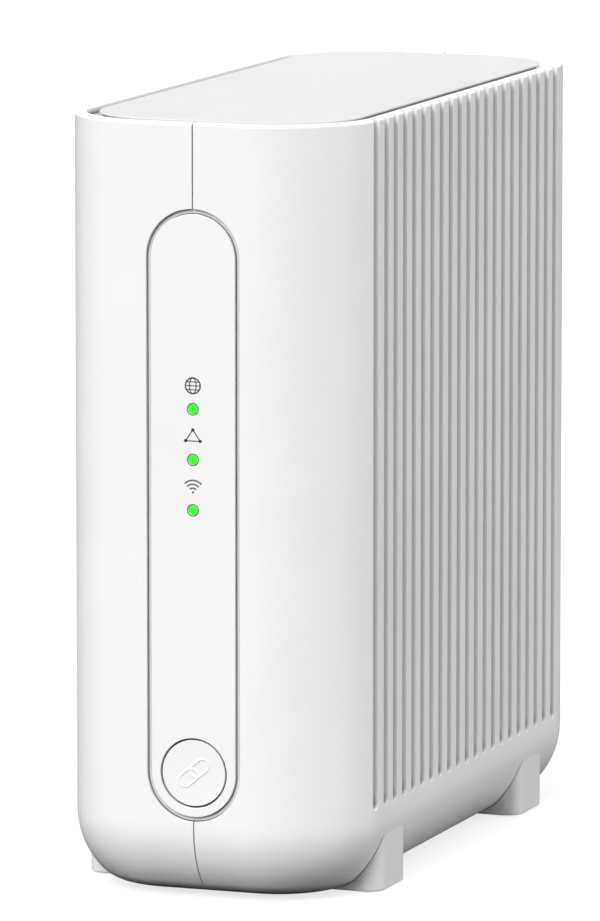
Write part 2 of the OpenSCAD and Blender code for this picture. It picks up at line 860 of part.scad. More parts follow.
sink_y0 = soc_y - 30;
sink_y1 = soc_y + 34;
sink_z0 = soc_z - 36;
sink_z1 = soc_z + 24;
sink_base_t = 3;
pad_soft_t = 0.6;
sink_face_x = board_face_x + 0.1 + chip_t + pad_soft_t + 0.1;
module heat_sink() {
    span = sink_y1 - sink_y0;
    step = (span - fin_t) / (fin_count - 1);
    color("silver") difference() {
        union() {
            block([sink_face_x, sink_y0, sink_z0], [sink_face_x + sink_base_t, sink_y1, sink_z1]);
            for (i = [0:fin_count - 1])
                block(
                    [sink_face_x, sink_y0 + i * step, sink_z0],
                    [sink_face_x + sink_base_t + fin_h, sink_y0 + i * step + fin_t, sink_z1]
                );
        }
        for (z = [sink_z0 + 5, sink_z1 - 5])
            bar_x(1.3, sink_y0 + step / 2 + fin_t / 2, z, sink_face_x - cut, sink_face_x + sink_base_t + cut);
    }
}

module thermal_pads() {
    color("lightsteelblue") {
        translate([board_face_x + 0.1 + chip_t + 0.02, soc_y - soc_w / 2, soc_z - soc_w / 2])
            cube([pad_soft_t, soc_w, soc_w]);
        translate([board_back_x - 0.9, soc_y - soc_w / 2 + 1, soc_z - soc_w / 2])
            cube([0.8, soc_w - 1, soc_w]);
    }
}

// Flat aluminium spreader behind the main board, inside the frame's front window
module heat_spreader() {
    color("silver")
        block([frame_face_x - 4, on_board_y(10), on_board_z(24)],
            [board_back_x - 0.95, on_board_y(54), on_board_z(108)]);
}

antenna_len = 46;
antenna_h = 11;
antenna_t = 0.8;
antenna_pad_t = 0.5;
antenna_y = [on_board_y(30), on_board_y(98)];
antenna_z = on_board_z(board_h + 2);
module antenna_places() {
    for (side = [-1, 1], i = [0:1])
        translate([0, antenna_y[i], antenna_z]) mirror([side < 0 ? 1 : 0, 0, 0]) children();
}

module antenna_boards() {
    x1 = inner_x - sit_gap - antenna_pad_t;
    color("seagreen") antenna_places()
        block([x1 - antenna_t, -antenna_len / 2, -antenna_h / 2], [x1, antenna_len / 2, antenna_h / 2]);
}

module antenna_pads() {
    x1 = inner_x - sit_gap / 2;
    color("grey") antenna_places()
        block([x1 - antenna_pad_t, -antenna_len / 2 + 6, -3.5], [x1, antenna_len / 2 - 6, 3.5]);
}

// Thin coaxial leads: up from a plug on the board, across, and down onto an antenna board
lead_r = 0.6;
knee_r = lead_r + 0.2;
function plug_y(side, i) = antenna_y[i] - 12 + side * 7;
plug_z = on_board_z(board_h - 7);
plug_top_x = board_face_x + 2.6;
lead_z = on_board_z(board_h + 8);
module antenna_leads() {
    plug_x = plug_top_x + knee_r + 0.1;
    end_x = inner_x - sit_gap - antenna_pad_t - antenna_t - knee_r - 0.1;
    color("black") for (side = [-1, 1], i = [0:1]) translate([0, plug_y(side, i), 0]) {
        from_x = side > 0 ? plug_x : -end_x;
        to_x = side > 0 ? end_x : plug_x;
        translate([plug_x, 0, plug_z]) cylinder(r = lead_r, h = lead_z - plug_z);
        bar_x(lead_r, 0, lead_z, from_x, to_x);
        translate([side * end_x, 0, antenna_z]) cylinder(r = lead_r, h = lead_z - antenna_z);
        for (p = [[plug_x, 0, plug_z], [plug_x, 0, lead_z],
                [side * end_x, 0, lead_z], [side * end_x, 0, antenna_z]])
            translate(p) sphere(r = knee_r, $fn = 24);
    }
}

module antenna_plugs() {
    color("goldenrod") for (side = [-1, 1], i = [0:1])
        bar_x(1.5, plug_y(side, i), plug_z, board_face_x + 0.1, plug_top_x);
}

weight_z = frame_foot_z + frame_foot_t + 0.1;
module base_weight() {
    weight_y = case_screw_y - 10;
    color("dimgrey") block([2, -weight_y, weight_z], [22, weight_y, weight_z + 5]);
}

// ---------- Fasteners ----------

module frame_screws() {
    color("silver") frame_screw_places()
        translate([board_face_x + screw_head_t, 0, 0]) rotate([0, -90, 0]) screw_up(7);
}

module case_screws() {
    color("silver") case_screw_places() translate([0, 0, case_screw_z]) screw_up(9.5);
}

// ---------- Feet ----------

// Foot block: a round-cornered tab that fills the space between the table and the
// rounded lower edge of the case, with a peg into the case
module foot(side, y) {
    outer = foot_outer_x;
    mirror([side < 0 ? 1 : 0, 0, 0]) {
        difference() {
            translate([0, y, foot_bottom_z]) linear_extrude(foot_h - foot_bottom_z) foot_plan(outer, 0);
            case_solid(-sit_gap, body_h, 0);
            translate([0, y, -cut]) linear_extrude(pad_t + cut)
                foot_plan(outer - pad_margin + sit_gap, pad_margin - sit_gap);
        }
        translate([foot_peg_x, y, pad_t]) cylinder(r = foot_peg_r, h = foot_peg_len);
    }
}

// Plan of a foot about its middle, shrunk by inset
module foot_plan(outer, inset) {
    half = foot_len / 2 - inset;
    low = foot_inner_x + inset;
    r = foot_corner_r - inset / 2;
    translate([low, -half]) square([outer - r - low, 2 * half]);
    translate([low, -half + r]) square([outer - low, 2 * half - 2 * r]);
    for (end = [-1, 1]) translate([outer - r, end * (half - r)]) circle(r);
}
module foot_front_left() color("whitesmoke") foot(-1, foot_y_front);
module foot_front_right() color("whitesmoke") foot(1, foot_y_front);
module foot_rear_left() color("whitesmoke") foot(-1, foot_y_rear);
module foot_rear_right() color("whitesmoke") foot(1, foot_y_rear);

module foot_pads() {
    color("dimgrey") for (side = [0, 1], y = [foot_y_front, foot_y_rear]) mirror([side, 0, 0])
        translate([0, y, 0]) linear_extrude(pad_t - 0.05) foot_plan(foot_outer_x - pad_margin, pad_margin);
}

module rating_label() {
    color("lightgrey")
        block([-18, alcove_floor_y - 0.1, alcove_high_z - 9], [-8, alcove_floor_y, alcove_high_z - 3]);
}

case_left();
case_right();
top_tray();
top_cover();
front_panel();
trim_ring();
pairing_button();
light_guide();
light_shroud();
front_board();
status_leds();
pairing_switch();
pairing_plunger();
front_ribbon();
rear_panel();
wan_socket();
lan_socket_1();
lan_socket_2();
lan_socket_3();
lan_socket_4();
socket_contacts();
power_inlet();
power_inlet_pin();
power_button();
power_switch();
reset_pin();
reset_switch();
main_board();
board_frame();
processor();
memory_chips();
radio_chips();
socket_transformers();
power_coils();
capacitors();
radio_shields();
thermal_pads();
heat_sink();
heat_spreader();
antenna_boards();
antenna_pads();
antenna_leads();
antenna_plugs();
base_weight();
frame_screws();
case_screws();
foot_front_left();
foot_front_right();
foot_rear_left();
foot_rear_right();
foot_pads();
rating_label();
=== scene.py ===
"""Upright wireless router: the pieces that a person sees, and the finishes they wear.

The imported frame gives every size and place. Shapes are worked out in millimetres as whole numpy
arrays, and Skin turns them into meshes in metres.
"""

import logging
import math
from collections.abc import Iterable, Sequence
from dataclasses import dataclass, field, replace
from enum import Enum
from typing import ClassVar

import bmesh
import bpy
import numpy as np
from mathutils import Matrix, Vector
from mathutils.geometry import tessellate_polygon


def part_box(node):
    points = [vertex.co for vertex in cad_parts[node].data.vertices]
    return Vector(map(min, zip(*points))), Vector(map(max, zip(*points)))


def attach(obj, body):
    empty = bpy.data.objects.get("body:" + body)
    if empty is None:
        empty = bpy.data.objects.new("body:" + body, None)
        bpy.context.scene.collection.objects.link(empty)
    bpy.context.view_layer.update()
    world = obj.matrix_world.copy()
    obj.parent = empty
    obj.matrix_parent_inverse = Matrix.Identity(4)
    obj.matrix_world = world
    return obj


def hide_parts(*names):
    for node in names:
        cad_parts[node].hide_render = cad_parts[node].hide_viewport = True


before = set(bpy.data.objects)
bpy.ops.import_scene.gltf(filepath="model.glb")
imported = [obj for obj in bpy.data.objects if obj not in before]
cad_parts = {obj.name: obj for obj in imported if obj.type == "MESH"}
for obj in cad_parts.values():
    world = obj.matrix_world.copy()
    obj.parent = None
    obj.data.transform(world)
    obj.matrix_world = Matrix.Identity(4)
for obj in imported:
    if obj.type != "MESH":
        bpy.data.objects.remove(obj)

# MM is a millimetre in metres, and points nearer than WELD metres become one. Lengths nearer than
# NEAR millimetres are the same. FAR is added to what a search for the nearest must not find.
# FACE_WEIGHT lets large faces set the shading of the edges beside them.
MM = 0.001
WELD = 0.003 * MM
NEAR = 1e-6
FAR = 1e3
FACE_WEIGHT = 100
CASE_BODY = "case"

log = logging.getLogger("router")


def box_mm(node: str) -> tuple[np.ndarray, np.ndarray]:
    """Lowest and highest corner of a CAD node.

    Args:
        node: name of the CAD node.

    Returns:
        The two corners, in millimetres.
    """
    low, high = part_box(node)
    return np.array(low) / MM, np.array(high) / MM


# ---------- Shader graphs ----------


class Signal:
    """A shader value that takes part in Python expressions: each operator adds a Math node."""

    def __init__(self, graph: "Graph", socket: bpy.types.NodeSocket | None) -> None:
        """Keeps the graph and the socket that the value comes out of."""
        self.graph = graph
        self.socket = socket

    def __add__(self, other: "Signal | float") -> "Signal":
        """Sum."""
        return self.graph.maths("ADD", self, other)

    __radd__ = __add__

    def __sub__(self, other: "Signal | float") -> "Signal":
        """Difference."""
        return self.graph.maths("SUBTRACT", self, other)

    def __rsub__(self, other: float) -> "Signal":
        """Difference with the value on the right."""
        return self.graph.maths("SUBTRACT", other, self)

    def __mul__(self, other: "Signal | float") -> "Signal":
        """Product."""
        return self.graph.maths("MULTIPLY", self, other)

    __rmul__ = __mul__

    def __truediv__(self, other: "Signal | float") -> "Signal":
        """Quotient."""
        return self.graph.maths("DIVIDE", self, other)

    def __rtruediv__(self, other: float) -> "Signal":
        """Quotient with the value below the line."""
        return self.graph.maths("DIVIDE", other, self)

    def __pow__(self, other: float) -> "Signal":
        """Power."""
        return self.graph.maths("POWER", self, other)

    def above(self, edge: float) -> "Signal":
        """One where the value is over edge, and nought elsewhere."""
        return self.graph.maths("GREATER_THAN", self, edge)

    def below(self, edge: float) -> "Signal":
        """One where the value is under edge, and nought elsewhere."""
        return self.graph.maths("LESS_THAN", self, edge)


class Graph:
    """The node tree of one material or of the world."""

    def __init__(self, tree: bpy.types.NodeTree) -> None:
        """Empties the tree."""
        self.tree = tree
        tree.nodes.clear()

    def node(
        self,
        kind: str,
        settings: dict[str, object] | None = None,
        inputs: dict[int | str, object] | None = None,
        out: int | str = 0,
    ) -> Signal:
        """Adds a node, sets it, then feeds it.

        Args:
            kind: Blender's name for the node type.
            settings: the node's own settings, made before its sockets are fed.
            inputs: values or Signals by socket name or number.
            out: the output socket to hand back.

        Returns:
            The chosen output as a Signal, which holds nothing for a node that ends a graph.
        """
        node = self.tree.nodes.new(kind)
        for name, value in (settings or {}).items():
            setattr(node, name, value)
        for name, value in (inputs or {}).items():
            if isinstance(value, Signal):
                self.tree.links.new(value.socket, node.inputs[name])
            else:
                node.inputs[name].default_value = value
        return Signal(self, node.outputs[out] if node.outputs else None)

    def maths(self, operation: str, left: "Signal | float", right: "Signal | float") -> Signal:
        """A Math node on two values."""
        return self.node("ShaderNodeMath", {"operation": operation}, {0: left, 1: right})

    def ramp(self, value: Signal, low: float, high: float) -> Signal:
        """Smooth rise of value from 0 at low to 1 at high."""
        settings = {"interpolation_type": "SMOOTHSTEP"}
        inputs = {"Value": value, "From Min": low, "From Max": high}
        return self.node("ShaderNodeMapRange", settings, inputs)

    def tint(
        self, share: "Signal | float", first: "Signal | Sequence[float]", second: Sequence[float]
    ) -> Signal:
        """Colour that goes from first to second as share goes from 0 to 1."""
        start = first if isinstance(first, Signal) else (*first, 1.0)
        inputs = {0: share, 6: start, 7: (*second, 1.0)}
        return self.node("ShaderNodeMix", {"data_type": "RGBA"}, inputs, out=2)

    def place(self, stretch: Sequence[float] = (1.0, 1.0, 1.0)) -> Signal:
        """Object coordinates, stretched along each axis."""
        coordinates = self.node("ShaderNodeTexCoord", out="Object")
        return self.node("ShaderNodeMapping", {}, {"Vector": coordinates, "Scale": tuple(stretch)})

    def noise(
        self, place: Signal, per_metre: float, detail: float = 3.0, rough: float = 0.55
    ) -> Signal:
        """Noise value at a place, with per_metre features to the metre."""
        inputs = {"Vector": place, "Scale": per_metre, "Detail": detail, "Roughness": rough}
        return self.node("ShaderNodeTexNoise", {}, inputs, out=0)

    def bump(self, height: Signal, depth: float) -> Signal:
        """Normal bent by height, which stands for depth metres."""
        return self.node("ShaderNodeBump", {}, {"Height": height, "Distance": depth, "Strength": 1.0})

    def surface(self, inputs: dict[str, object]) -> None:
        """Ends the graph in a Principled surface with these inputs."""
        shader = self.node("ShaderNodeBsdfPrincipled", {}, inputs)
        self.node("ShaderNodeOutputMaterial", {}, {"Surface": shader})


def new_material(name: str) -> tuple[bpy.types.Material, Graph]:
    """An empty node material and its graph."""
    material = bpy.data.materials.new(name)
    material.use_nodes = True
    return material, Graph(material.node_tree)


# ---------- Finishes ----------


@dataclass(frozen=True)
class Envelope:
    """Smooth outside of the case, from which grooves, gaps and channels are measured inwards.

    With q the distance of a point past the corner's centre lines, the depth below the sides and
    the front is corner - |max(q, 0)| - min(max(q), 0). The depth below the top counts by a share,
    and depths near the grooves' feet count by more, so the painted shade there is darker. The
    materials darken with this depth: painted shade in grooves, gaps and channels.
    """

    half_w: float = 37.5
    half_d: float = 90.0
    corner: float = 25.5
    top: float = 184.0
    top_share: float = 0.9
    back_from: float = 70.0
    base_to: float = 19.0
    # Down through the heights of foot, the depth counts by up to the next share more: deeper painted
    # shade at the grooves' feet.
    foot: tuple[float, float] = (25.0, 21.0)
    foot_shade_gain: float = 0.6

    def depth(self, graph: "Graph", place: Signal) -> Signal:
        """Depth of a point below the outside, in millimetres; none at the back and the base.

        Args:
            graph: the material's graph.
            place: the point, in metres.

        Returns:
            The depth.
        """
        x, y, z = (
            graph.node("ShaderNodeSeparateXYZ", {}, {"Vector": place}, out=axis) / MM
            for axis in range(3)
        )
        past_x = graph.maths("ABSOLUTE", x, 0.0) - (self.half_w - self.corner)
        past_y = -1.0 * y - (self.half_d - self.corner)
        round_x, round_y = (graph.maths("MAXIMUM", past, 0.0) for past in (past_x, past_y))
        arc = (round_x**2.0 + round_y**2.0) ** 0.5
        flat = graph.maths("MINIMUM", graph.maths("MAXIMUM", past_x, past_y), 0.0)
        from_top = self.top_share * (self.top - z)
        inside = graph.maths("MINIMUM", self.corner - arc - flat, from_top)
        # Painted shade: depths near the grooves' feet count by more.
        foot_shade = 1.0 + self.foot_shade_gain * graph.ramp(z, *self.foot)
        return inside * foot_shade * y.below(self.back_from) * z.above(self.base_to)


@dataclass(frozen=True)
class MouldedPlastic:
    """Injection-moulded plastic: a fine spark-eroded grain, faint flow clouding, uneven gloss.

    Height of the grain is the sum of two octave noises, and both the clouding of the colour and
    the gloss follow a third, far larger noise. The colour darkens with the depth below the outside
    of the case: painted shade in narrow recesses.
    """

    name: str
    colour: tuple[float, float, float]
    roughness: float = 0.42
    grain: float = 0.006
    grain_per_mm: float = 5.0
    clouding: float = 0.02
    coat: float = 0.0
    # The next three set the painted shade in recesses: how much darker, and the depths where it
    # starts and is full.
    dust_and_shade: float = 0.0
    shade_from: float = 0.3
    shade_to: float = 1.5
    clouds_per_metre: float = 22.0
    cloud_gloss: float = 0.08
    grain_gloss: float = 0.05
    coat_roughness: float = 0.25

    def build(self) -> bpy.types.Material:
        """Makes the material."""
        material, graph = new_material(self.name)
        place = graph.place()
        fine = graph.noise(place, self.grain_per_mm / MM, 2.0)
        coarse = graph.noise(place, self.grain_per_mm / MM / 3, 1.0)
        cloud = graph.noise(place, self.clouds_per_metre, 4.0)
        darker = tuple(c * (1 - self.clouding) for c in self.colour)
        lighter = tuple(min(1.0, c * (1 + self.clouding / 2)) for c in self.colour)
        colour = graph.tint(graph.ramp(cloud, 0.3, 0.7), darker, lighter)
        gloss = self.cloud_gloss * (cloud - 0.5) + self.grain_gloss * (fine - 0.5)
        # Painted shade: the colour darkens with the depth below the outside of the case.
        if self.dust_and_shade:
            depth = Envelope().depth(graph, place)
            shade_colour = tuple(c * (1 - self.dust_and_shade) for c in self.colour)
            colour = graph.tint(graph.ramp(depth, self.shade_from, self.shade_to), colour, shade_colour)
        graph.surface(
            {
                "Base Color": colour,
                "Roughness": self.roughness + gloss,
                "Coat Weight": self.coat,
                "Coat Roughness": self.coat_roughness,
                "Normal": graph.bump(0.6 * fine + 0.4 * coarse, self.grain * MM),
            }
        )
        return material


@dataclass(frozen=True)
class LitLens:
    """Light guide of clear tinted plastic, lit from behind, with faint specks of dimmer colour."""

    name: str
    colour: tuple[float, float, float]
    glow: float
    specks_per_metre: float = 900.0
    dimmest: float = 0.8

    def build(self) -> bpy.types.Material:
        """Makes the material."""
        material, graph = new_material(self.name)
        place = graph.place()
        speck = graph.noise(place, self.specks_per_metre, 2.0)
        dim = tuple(self.dimmest * c for c in self.colour)
        colour = graph.tint(graph.ramp(speck, 0.35, 0.6), dim, self.colour)
        graph.surface(
            {
                "Base Color": colour,
                "Roughness": 0.34 + 0.05 * speck,
                "Emission Color": colour,
                "Emission Strength": self.glow,
                "Normal": graph.bump(speck, 0.004 * MM),
            }
        )
        return material


@dataclass(frozen=True)
class Metal:
    """Bare metal, drawn or rolled along one axis: long thin streaks in gloss and height."""

    name: str
    colour: tuple[float, float, float]
    roughness: float = 0.3
    streak: tuple[float, float, float] = (1.0, 1.0, 14.0)
    depth: float = 0.002
    streaks_per_metre: float = 420.0
    stains_per_metre: float = 60.0

    def build(self) -> bpy.types.Material:
        """Makes the material."""
        material, graph = new_material(self.name)
        streaks = graph.noise(graph.place(self.streak), self.streaks_per_metre, 4.0, 0.6)
        stain = graph.noise(graph.place(), self.stains_per_metre, 3.0)
        duller = tuple(0.86 * c for c in self.colour)
        graph.surface(
            {
                "Base Color": graph.tint(graph.ramp(stain, 0.35, 0.7), duller, self.colour),
                "Metallic": 1.0,
                "Roughness": self.roughness + 0.16 * (streaks - 0.5) + 0.06 * (stain - 0.5),
                "Normal": graph.bump(streaks, self.depth * MM),
            }
        )
        return material


@dataclass(frozen=True)
class CircuitBoard:
    """Lacquered board: raised copper tracks under green lacquer, with tinned vias.

    Tracks run where two scattered cells meet; vias are the middles of such cells.
    """

    name: str
    lacquer: tuple[float, float, float] = (0.008, 0.075, 0.03)
    track: tuple[float, float, float] = (0.02, 0.16, 0.06)
    tin: tuple[float, float, float] = (0.62, 0.6, 0.52)
    tracks_per_metre: float = 240.0
    vias_per_metre: float = 180.0
    via_share: float = 0.13

    def build(self) -> bpy.types.Material:
        """Makes the material."""
        material, graph = new_material(self.name)
        place = graph.place()
        wander = graph.noise(place, 120.0, 2.0)
        lanes = graph.node(
            "ShaderNodeTexVoronoi",
            {"feature": "DISTANCE_TO_EDGE", "distance": "EUCLIDEAN"},
            {"Vector": place, "Scale": self.tracks_per_metre, "Randomness": 0.35},
        )
        tracks = graph.ramp(lanes + 0.05 * wander, 0.16, 0.1)
        holes = graph.node(
            "ShaderNodeTexVoronoi",
            {"feature": "F1"},
            {"Vector": place, "Scale": self.vias_per_metre, "Randomness": 0.8},
        )
        vias = holes.below(self.via_share)
        lacquered = graph.tint(tracks, self.lacquer, self.track)
        graph.surface(
            {
                "Base Color": graph.tint(vias, lacquered, self.tin),
                "Metallic": 0.9 * vias,
                "Roughness": 0.3 + 0.08 * wander,
                "Normal": graph.bump(tracks + vias, 0.03 * MM),
            }
        )
        return material


@dataclass(frozen=True)
class Rubber:
    """Matt rubber or foam: open pores and dusty high spots."""

    name: str
    colour: tuple[float, float, float]
    pore_per_mm: float = 2.5
    depth: float = 0.03

    def build(self) -> bpy.types.Material:
        """Makes the material."""
        material, graph = new_material(self.name)
        pores = graph.noise(graph.place(), self.pore_per_mm / MM, 5.0, 0.7)
        dust_and_shade = tuple(min(1.0, 1.35 * c + 0.012) for c in self.colour)
        graph.surface(
            {
                "Base Color": graph.tint(graph.ramp(pores, 0.4, 0.75), self.colour, dust_and_shade),
                "Roughness": 0.78 + 0.2 * (pores - 0.5),
                "Normal": graph.bump(pores, self.depth * MM),
            }
        )
        return material


@dataclass(frozen=True)
class Ink:
    """Pad-printed ink: nearly even, slightly starved in fine spots."""

    name: str
    colour: tuple[float, float, float]
    spots_per_mm: float = 6.0

    def build(self) -> bpy.types.Material:
        """Makes the material."""
        material, graph = new_material(self.name)
        starved = graph.noise(graph.place(), self.spots_per_mm / MM, 2.0)
        paler = tuple(min(1.0, 1.25 * c + 0.01) for c in self.colour)
        graph.surface(
            {
                "Base Color": graph.tint(graph.ramp(starved, 0.5, 0.8), self.colour, paler),
                "Roughness": 0.5 + 0.1 * starved,
                "Normal": graph.bump(starved, 0.001 * MM),
            }
        )
        return material


@dataclass(frozen=True)
class FlatCable:
    """Flat cable: white film over evenly spaced conductors that show as faint ribs along Y."""

    name: str
    film: tuple[float, float, float] = (0.72, 0.7, 0.64)
    core: tuple[float, float, float] = (0.42, 0.4, 0.36)
    ribs_per_metre: float = 160.0

    def build(self) -> bpy.types.Material:
        """Makes the material."""
        material, graph = new_material(self.name)
        ribs = graph.node(
            "ShaderNodeTexWave",
            {"bands_direction": "Z"},
            {"Vector": graph.place(), "Scale": self.ribs_per_metre},
            out=1,
        )
        graph.surface(
            {
                "Base Color": graph.tint(ribs, self.film, self.core),
                "Roughness": 0.34 + 0.1 * ribs,
                "Normal": graph.bump(ribs, 0.04 * MM),
            }
        )
        return material


Finish = MouldedPlastic | LitLens | Metal | CircuitBoard | Rubber | Ink | FlatCable


class Slot(Enum):
    """The record's material slots, each with the finish it wears."""

    # The case and the cover darken with depth below the outside of the case: painted shade.
    CASE_WHITE = MouldedPlastic("case_white", (0.90, 0.90, 0.895), 0.40, dust_and_shade=0.62)
    COVER_GREY = MouldedPlastic(
        "cover_grey", (0.66, 0.66, 0.66), 0.5, dust_and_shade=0.7, shade_from=0.1, shade_to=0.8
    )
    TRIM_GREY = MouldedPlastic("trim_grey", (0.66, 0.66, 0.665), 0.34)
    LIGHT_LENS = LitLens("light_lens", (0.03, 0.92, 0.025), 0.8)
    LAMP = LitLens("lamp", (0.5, 0.9, 0.45), 0.4)
    BLACK_PLASTIC = MouldedPlastic("black_plastic", (0.018, 0.018, 0.019), 0.38, 0.012, 4.0, 0.12)
    CIRCUIT_BOARD = CircuitBoard("circuit_board")
    FLAT_CABLE = FlatCable("flat_cable")
    PANEL_GREY = MouldedPlastic("panel_grey", (0.62, 0.62, 0.625), 0.48, 0.012, 3.5)
    WAN_PLASTIC = MouldedPlastic("wan_plastic", (0.015, 0.11, 0.52), 0.36, 0.006, 4.0, 0.06)
    LAN_PLASTIC = MouldedPlastic("lan_plastic", (0.78, 0.5, 0.03), 0.36, 0.006, 4.0, 0.06)
    CONTACT_GOLD = Metal("contact_gold", (0.86, 0.6, 0.22), 0.2, (14.0, 1.0, 14.0))
    NICKEL = Metal("nickel", (0.72, 0.7, 0.66), 0.22, (14.0, 1.0, 14.0))
    FRAME_PLASTIC = MouldedPlastic("frame_plastic", (0.45, 0.45, 0.46), 0.5, 0.015, 3.0, 0.05)
    CHIP_BLACK = MouldedPlastic("chip_black", (0.012, 0.012, 0.014), 0.55, 0.01, 8.0, 0.2)
    CAN_METAL = Metal("can_metal", (0.66, 0.66, 0.64), 0.34, (1.0, 10.0, 1.0))
    PAD_SOFT = Rubber("pad_soft", (0.34, 0.4, 0.46), 2.0, 0.02)
    ALUMINIUM = Metal("aluminium", (0.8, 0.81, 0.82), 0.32, (14.0, 14.0, 1.0))
    LEAD_BLACK = MouldedPlastic("lead_black", (0.015, 0.015, 0.015), 0.45, 0.02, 3.0, 0.1)
    BALLAST = Metal("ballast", (0.3, 0.3, 0.31), 0.48, (1.0, 10.0, 1.0), 0.01)
    SCREW_STEEL = Metal("screw_steel", (0.55, 0.55, 0.54), 0.3, (6.0, 6.0, 1.0))
    FOOT_WHITE = MouldedPlastic("foot_white", (0.80, 0.80, 0.80), 0.45)
    PAD_RUBBER = Rubber("pad_rubber", (0.03, 0.03, 0.031))
    LABEL = Ink("label", (0.7, 0.7, 0.69))

    @property
    def slot(self) -> str:
        """The slot's name in the record."""
        return self.value.name


class Paintbox:
    """Makes each finish once and hands out its material."""

    def __init__(self) -> None:
        """Starts with nothing made."""
        self.made: dict[str, bpy.types.Material] = {}

    def of(self, finish: Finish) -> bpy.types.Material:
        """The material of a finish."""
        if finish.name not in self.made:
            self.made[finish.name] = finish.build()
        return self.made[finish.name]


PAINTS = Paintbox()


# ---------- Outlines ----------


def quarter(parts: int) -> np.ndarray:
    """Angles over a quarter turn, with both ends."""
    return np.linspace(0, np.pi / 2, parts + 1)


def unit_ring(parts: int) -> np.ndarray:
    """Points round a circle of radius one about the origin."""
    angle = np.linspace(0, 2 * np.pi, parts, endpoint=False)
    return np.stack([np.cos(angle), np.sin(angle)], -1)


class Plane(Enum):
    """The plane that an outline lies in, by its two axes; a depth runs along the third."""

    UPRIGHT = (0, 2, 1)
    LEVEL = (0, 1, 2)
    SIDE = (1, 2, 0)

    def lift(self, flat: np.ndarray, depth: float | np.ndarray) -> np.ndarray:
        """Points in space from points of the plane.

        Args:
            flat: array (..., 2) of places in the plane.
            depth: place along the third axis, one number or one for each point.

        Returns:
            Array (..., 3).
        """
        points = np.empty((*flat.shape[:-1], 3))
        first, second, third = self.value
        points[..., first] = flat[..., 0]
        points[..., second] = flat[..., 1]
        points[..., third] = depth
        return points


@dataclass(frozen=True)
class RoundRect:
    """Rounded rectangle. A circle has both halves equal to its corner radius, a pill one of them."""

    u: float
    v: float
    half_u: float
    half_v: float
    corner: float
    steps: int = 8

    def at(self, grow: float = 0.0) -> np.ndarray:
        """Closed outline, grown outwards.

        A corner's points are its centre plus (corner + grow) times (cos a, sin a), with a over
        that corner's own quarter turn.

        Args:
            grow: distance outwards from the outline.

        Returns:
            Array (n, 2), anticlockwise.
        """
        turn = np.arange(4)[:, None] * np.pi / 2 + quarter(self.steps)
        centre_u = self.u + np.array([1, -1, -1, 1])[:, None] * (self.half_u - self.corner)
        centre_v = self.v + np.array([1, 1, -1, -1])[:, None] * (self.half_v - self.corner)
        radius = self.corner + grow
        points = np.stack([centre_u + radius * np.cos(turn), centre_v + radius * np.sin(turn)], -1)
        return points.reshape(-1, 2)


def circle(u: float, v: float, radius: float, steps: int = 12) -> RoundRect:
    """Circle as a rounded rectangle with nothing straight."""
    return RoundRect(u, v, radius, radius, radius, steps)


@dataclass(frozen=True)
class PlugMouth:
    """Mouth of a network socket: a rectangle for the plug with a narrower slot for its latch.

    u runs from the mouth's floor towards the latch, and v across it.
    """

    u0: float
    u1: float
    u2: float
    v: float
    half_wide: float
    half_latch: float

    def at(self, grow: float = 0.0) -> np.ndarray:
        """Closed outline, each side moved outwards by grow.

        Args:
            grow: distance outwards from the outline.

        Returns:
            Array (8, 2), anticlockwise.
        """
        wide, latch = self.half_wide + grow, self.half_latch + grow
        low, middle, high = self.u0 - grow, self.u1 + grow, self.u2 + grow
        u = [low, middle, middle, high, high, middle, middle, low]
        v = [-wide, -wide, -latch, -latch, latch, latch, wide, wide]
        return np.stack([u, self.v + np.array(v)], -1)


Outline = RoundRect | PlugMouth


def outline_of(node: str, corner: float, grow: float = 0.0, steps: int = 3) -> RoundRect:
    """Rounded rectangle round a CAD node, as it is seen from the front or the back.

    Args:
        node: name of the CAD node.
        corner: radius of its corners.
        grow: distance by which every side moves outwards.
        steps: parts in each corner.

    Returns:
        The outline.
    """
    low, high = box_mm(node)
    middle, half = (low + high) / 2, (high - low) / 2 + grow
    return RoundRect(middle[0], middle[2], half[0], half[2], corner, steps)


# ---------- Meshes ----------


